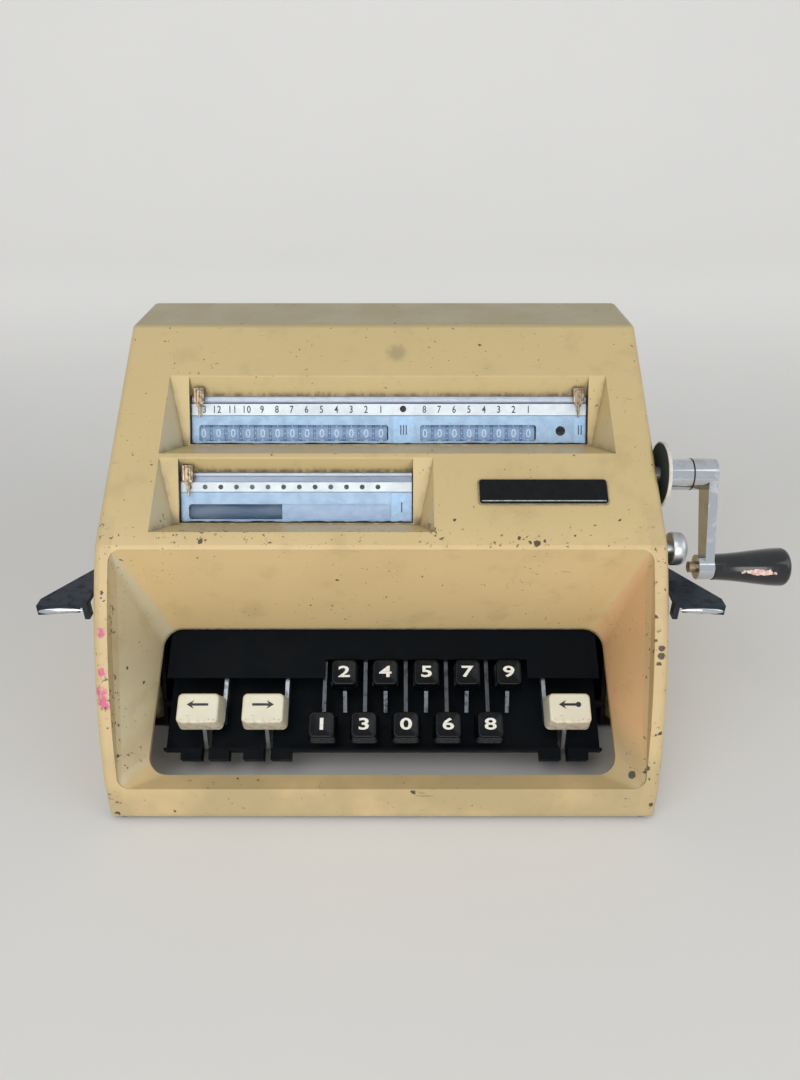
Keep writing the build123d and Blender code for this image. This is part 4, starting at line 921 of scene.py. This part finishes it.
class SideControlOperator(bpy.types.Operator):
    """Finish the push knob and the two finger wings"""
    bl_idname = "calculator.side_controls"
    bl_label = "Side controls"

    def execute(self, context):
        look = context.scene.calculator_metal
        low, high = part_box("push_knob")
        radius, long, stem = (high.z - low.z) / 2 / MM, look.knob_length / MM, look.knob_stem / MM
        # A thin stem that runs into the case, a straight rim and a domed face
        profile = [(stem, (low.x - high.x) / MM), (stem, -long), (radius * 0.94, -long), (radius, -long + 0.6),
                   (radius, -long * 0.45)]
        profile += [(radius * cos(a) ** 0.8, -long * 0.45 * (1 - sin(a))) for a in (0.2, 0.45, 0.7, 0.95, 1.2, 1.4)]
        # Satin nickel, brushed round: a soft pale sheen without sharp reflections
        satin = brushed_steel("satin nickel plate", "#C4C7CA", "#A3A19D", (0.32, 0.42), (12.0, 1.0, 1.0))
        piece("push_knob_cap", turned(None, profile, 72), satin, "knob", axle(high.x, low, high),
              ["push_knob"], smooth=50.0)
        # Painted reflection: the wing plates are made dark blue-grey, standing in for the dark wall mirrored in their
        # chrome, and brushed lengthwise
        dark = brushed_steel("wing plate with painted dark reflection", "#3D444E", "#1E2126", (0.3, 0.5), (1.0, 8.0, 8.0))
        dress(dark, "left_wing_lever", "right_wing_lever", bevel_mm=0.5)
        # The bright lip tapers to both ends: share of its length, half its height and half its depth
        lip_rings = ((0.01, 0.3, 0.3), (0.05, 1.0, 0.6), (0.2, 1.5, 1.0), (0.5, 1.7, 1.1), (0.8, 1.2, 0.8),
                     (1.0, 0.3, 0.3))
        for side, sign in (("left", -1), ("right", 1)):
            low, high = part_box(f"{side}_wing_lever")
            lip = lofted(None, [[Vector((-sign * look.lip_length / MM * share, deep * p.x + share, half * p.y))
                                 for p in circle_ring(1, 0, 16)] for share, half, deep in lip_rings])
            tip = low.x if sign < 0 else high.x
            piece(f"{side}_wing_lip", lip, shared(polished_chrome, look), f"{side}_wing",
                  Matrix.Translation((tip, low.y + 0.0004, low.z + 0.0058)), smooth=60.0)
        return {"FINISHED"}


class MechanismOperator(bpy.types.Operator):
    """Finish the hidden plates, rods, gears and rotor"""
    bl_idname = "calculator.mechanism"
    bl_label = "Mechanism"

    def execute(self, context):
        metal = context.scene.calculator_metal
        # Oiled steel, made near black, with a brown cast in 12 mm patches
        dress(plain_finish("near-black oiled steel", "#131416", "#211E1A", (0.35, 0.5), 12, Metallic=0.5),
              "side_plates", "cross_rods")
        dress(shared(zinc_steel), "rotor_shaft")
        dress(shared(worn_brass, metal), "idler_gear")
        dress(brushed_steel("turned rotor steel", metal.steel, "#77756F", (0.25, 0.45), (1.0, 6.0, 6.0)),
              "rotor_wheels")
        return {"FINISHED"}


class StageOperator(bpy.types.Operator):
    """Set the plain floor and backdrop, the soft lights and the camera"""
    bl_idname = "calculator.stage"
    bl_label = "Stage"

    def execute(self, context):
        look, scene = context.scene.calculator_stage, context.scene
        # Matt paper sweep: pale and even, with tone changes in 300 mm patches
        paper, tree = blank("matt paper", Roughness=0.9, Emission_Color=linear("#F2F1EE"))
        tone = patches(place_of(tree), 300, 0.3, 0.7)
        # The far sweep is lifted to an even pale tone for the camera, metal and glass. The floor keeps its shadow.
        place = add_node(tree, "SeparateXYZ", {0: place_of(tree)}).outputs
        far = most(ranged(place["Y"], 0.1, 1.0), ranged(place["Z"], 0.02, 0.5))
        linked(paper, Base_Color=tinted(look.floor, tone, 0.25, "#E4E3E0"),
               Emission_Strength=times(seen_rays(tree), far, look.backdrop_lift))
        # The sweep in metres: a level floor, a quarter turn and an upright back
        start, bend, top, half_wide, sunk = 1.2, 0.8, 3.2, 3.0, 0.0002
        profile = [(-2.5, 0.0), (start, 0.0)] + [(start + bend * sin(a), bend - bend * cos(a)) for a in
                                                 [i * pi / 24 for i in range(1, 13)]] + [(start + bend, top)]
        sweep = bmesh.new()
        rows = [[sweep.verts.new((x, y, z - sunk)) for y, z in profile] for x in (-half_wide, half_wide)]
        for i in range(len(profile) - 1):
            sweep.faces.new((rows[0][i], rows[1][i], rows[1][i + 1], rows[0][i + 1])).smooth = True
        mesh = bpy.data.meshes.new("sweep")
        sweep.to_mesh(mesh)
        sweep.free()
        mesh.materials.append(paper)
        floor = bpy.data.objects.new("sweep", mesh)
        scene.collection.objects.link(floor)

        # Even light from all sides, which the camera, metal and glass see as pale as the sweep
        scene.world = bpy.data.worlds.new("even light")
        scene.world.use_nodes = True
        tree = scene.world.node_tree
        sky = tree.nodes["Background"]
        sky.inputs["Color"].default_value = linear("#EEF1F5")
        strength = reckon("MULTIPLY_ADD", seen_rays(tree), look.backdrop_lift, look.sky)
        tree.links.new(strength, sky.inputs["Strength"])
        # Soft square lights, each turned to the machine: place, size and power
        for name, place, size, power in (("key", (-0.5, -0.75, 1.25), 0.9, look.key_light),
                                         ("fill", (0.9, -0.5, 0.8), 0.8, look.fill_light),
                                         ("front", (-0.1, -1.6, 0.45), 1.2, look.front_light)):
            lamp = bpy.data.lights.new(name, "AREA")
            lamp.energy, lamp.size = power, size
            holder = bpy.data.objects.new(name, lamp)
            holder.location = place
            holder.rotation_mode = "QUATERNION"
            holder.rotation_quaternion = (Vector((0, 0, 0.1)) - Vector(place)).to_track_quat("-Z", "Y")
            scene.collection.objects.link(holder)

        # The photograph's view: pitched down 31 degrees from in front and above
        camera = bpy.data.cameras.new("view")
        camera.sensor_width, camera.lens, camera.clip_start = 24.0, look.lens, 0.02
        scene.camera = bpy.data.objects.new("view", camera)
        scene.camera.location = (CASE_X + 0.009, -0.3942, 0.3322)
        scene.camera.rotation_euler = (radians(90 - 31), 0, 0)
        scene.collection.objects.link(scene.camera)
        scene.view_settings.view_transform = "Standard"
        return {"FINISHED"}


PIECES = (CaseOperator, NameplateOperator, WindowOperator, RegisterOperator, KeyOperator, CrankOperator,
          SideControlOperator, MechanismOperator, StageOperator)
GROUPS = {"calculator_case": CalculatorCase, "calculator_keys": CalculatorKeys,
          "calculator_registers": CalculatorRegisters, "calculator_metal": CalculatorMetal,
          "calculator_stage": CalculatorStage}


class CalculatorPanel(bpy.types.Panel):
    """Lists the settings and the pieces"""
    bl_idname = "VIEW3D_PT_calculator"
    bl_label = "Calculator"
    bl_space_type = "VIEW_3D"
    bl_region_type = "UI"
    bl_category = "Calculator"

    def draw(self, context):
        for name, group in GROUPS.items():
            box = self.layout.box()
            for setting in group.__annotations__:
                box.prop(getattr(context.scene, name), setting)
        for piece_class in PIECES:
            self.layout.operator(piece_class.bl_idname)


def register():
    for made in (*GROUPS.values(), *PIECES, CalculatorPanel):
        bpy.utils.register_class(made)
    for name, group in GROUPS.items():
        setattr(bpy.types.Scene, name, bpy.props.PointerProperty(type=group))


def unregister():
    for name in GROUPS:
        delattr(bpy.types.Scene, name)
    for made in reversed((*GROUPS.values(), *PIECES, CalculatorPanel)):
        bpy.utils.unregister_class(made)


def main():
    """Make every piece in order."""
    register()
    for piece_class in PIECES:
        group, action = piece_class.bl_idname.split(".")
        getattr(getattr(bpy.ops, group), action)()


if __name__ == "__main__":
    main()
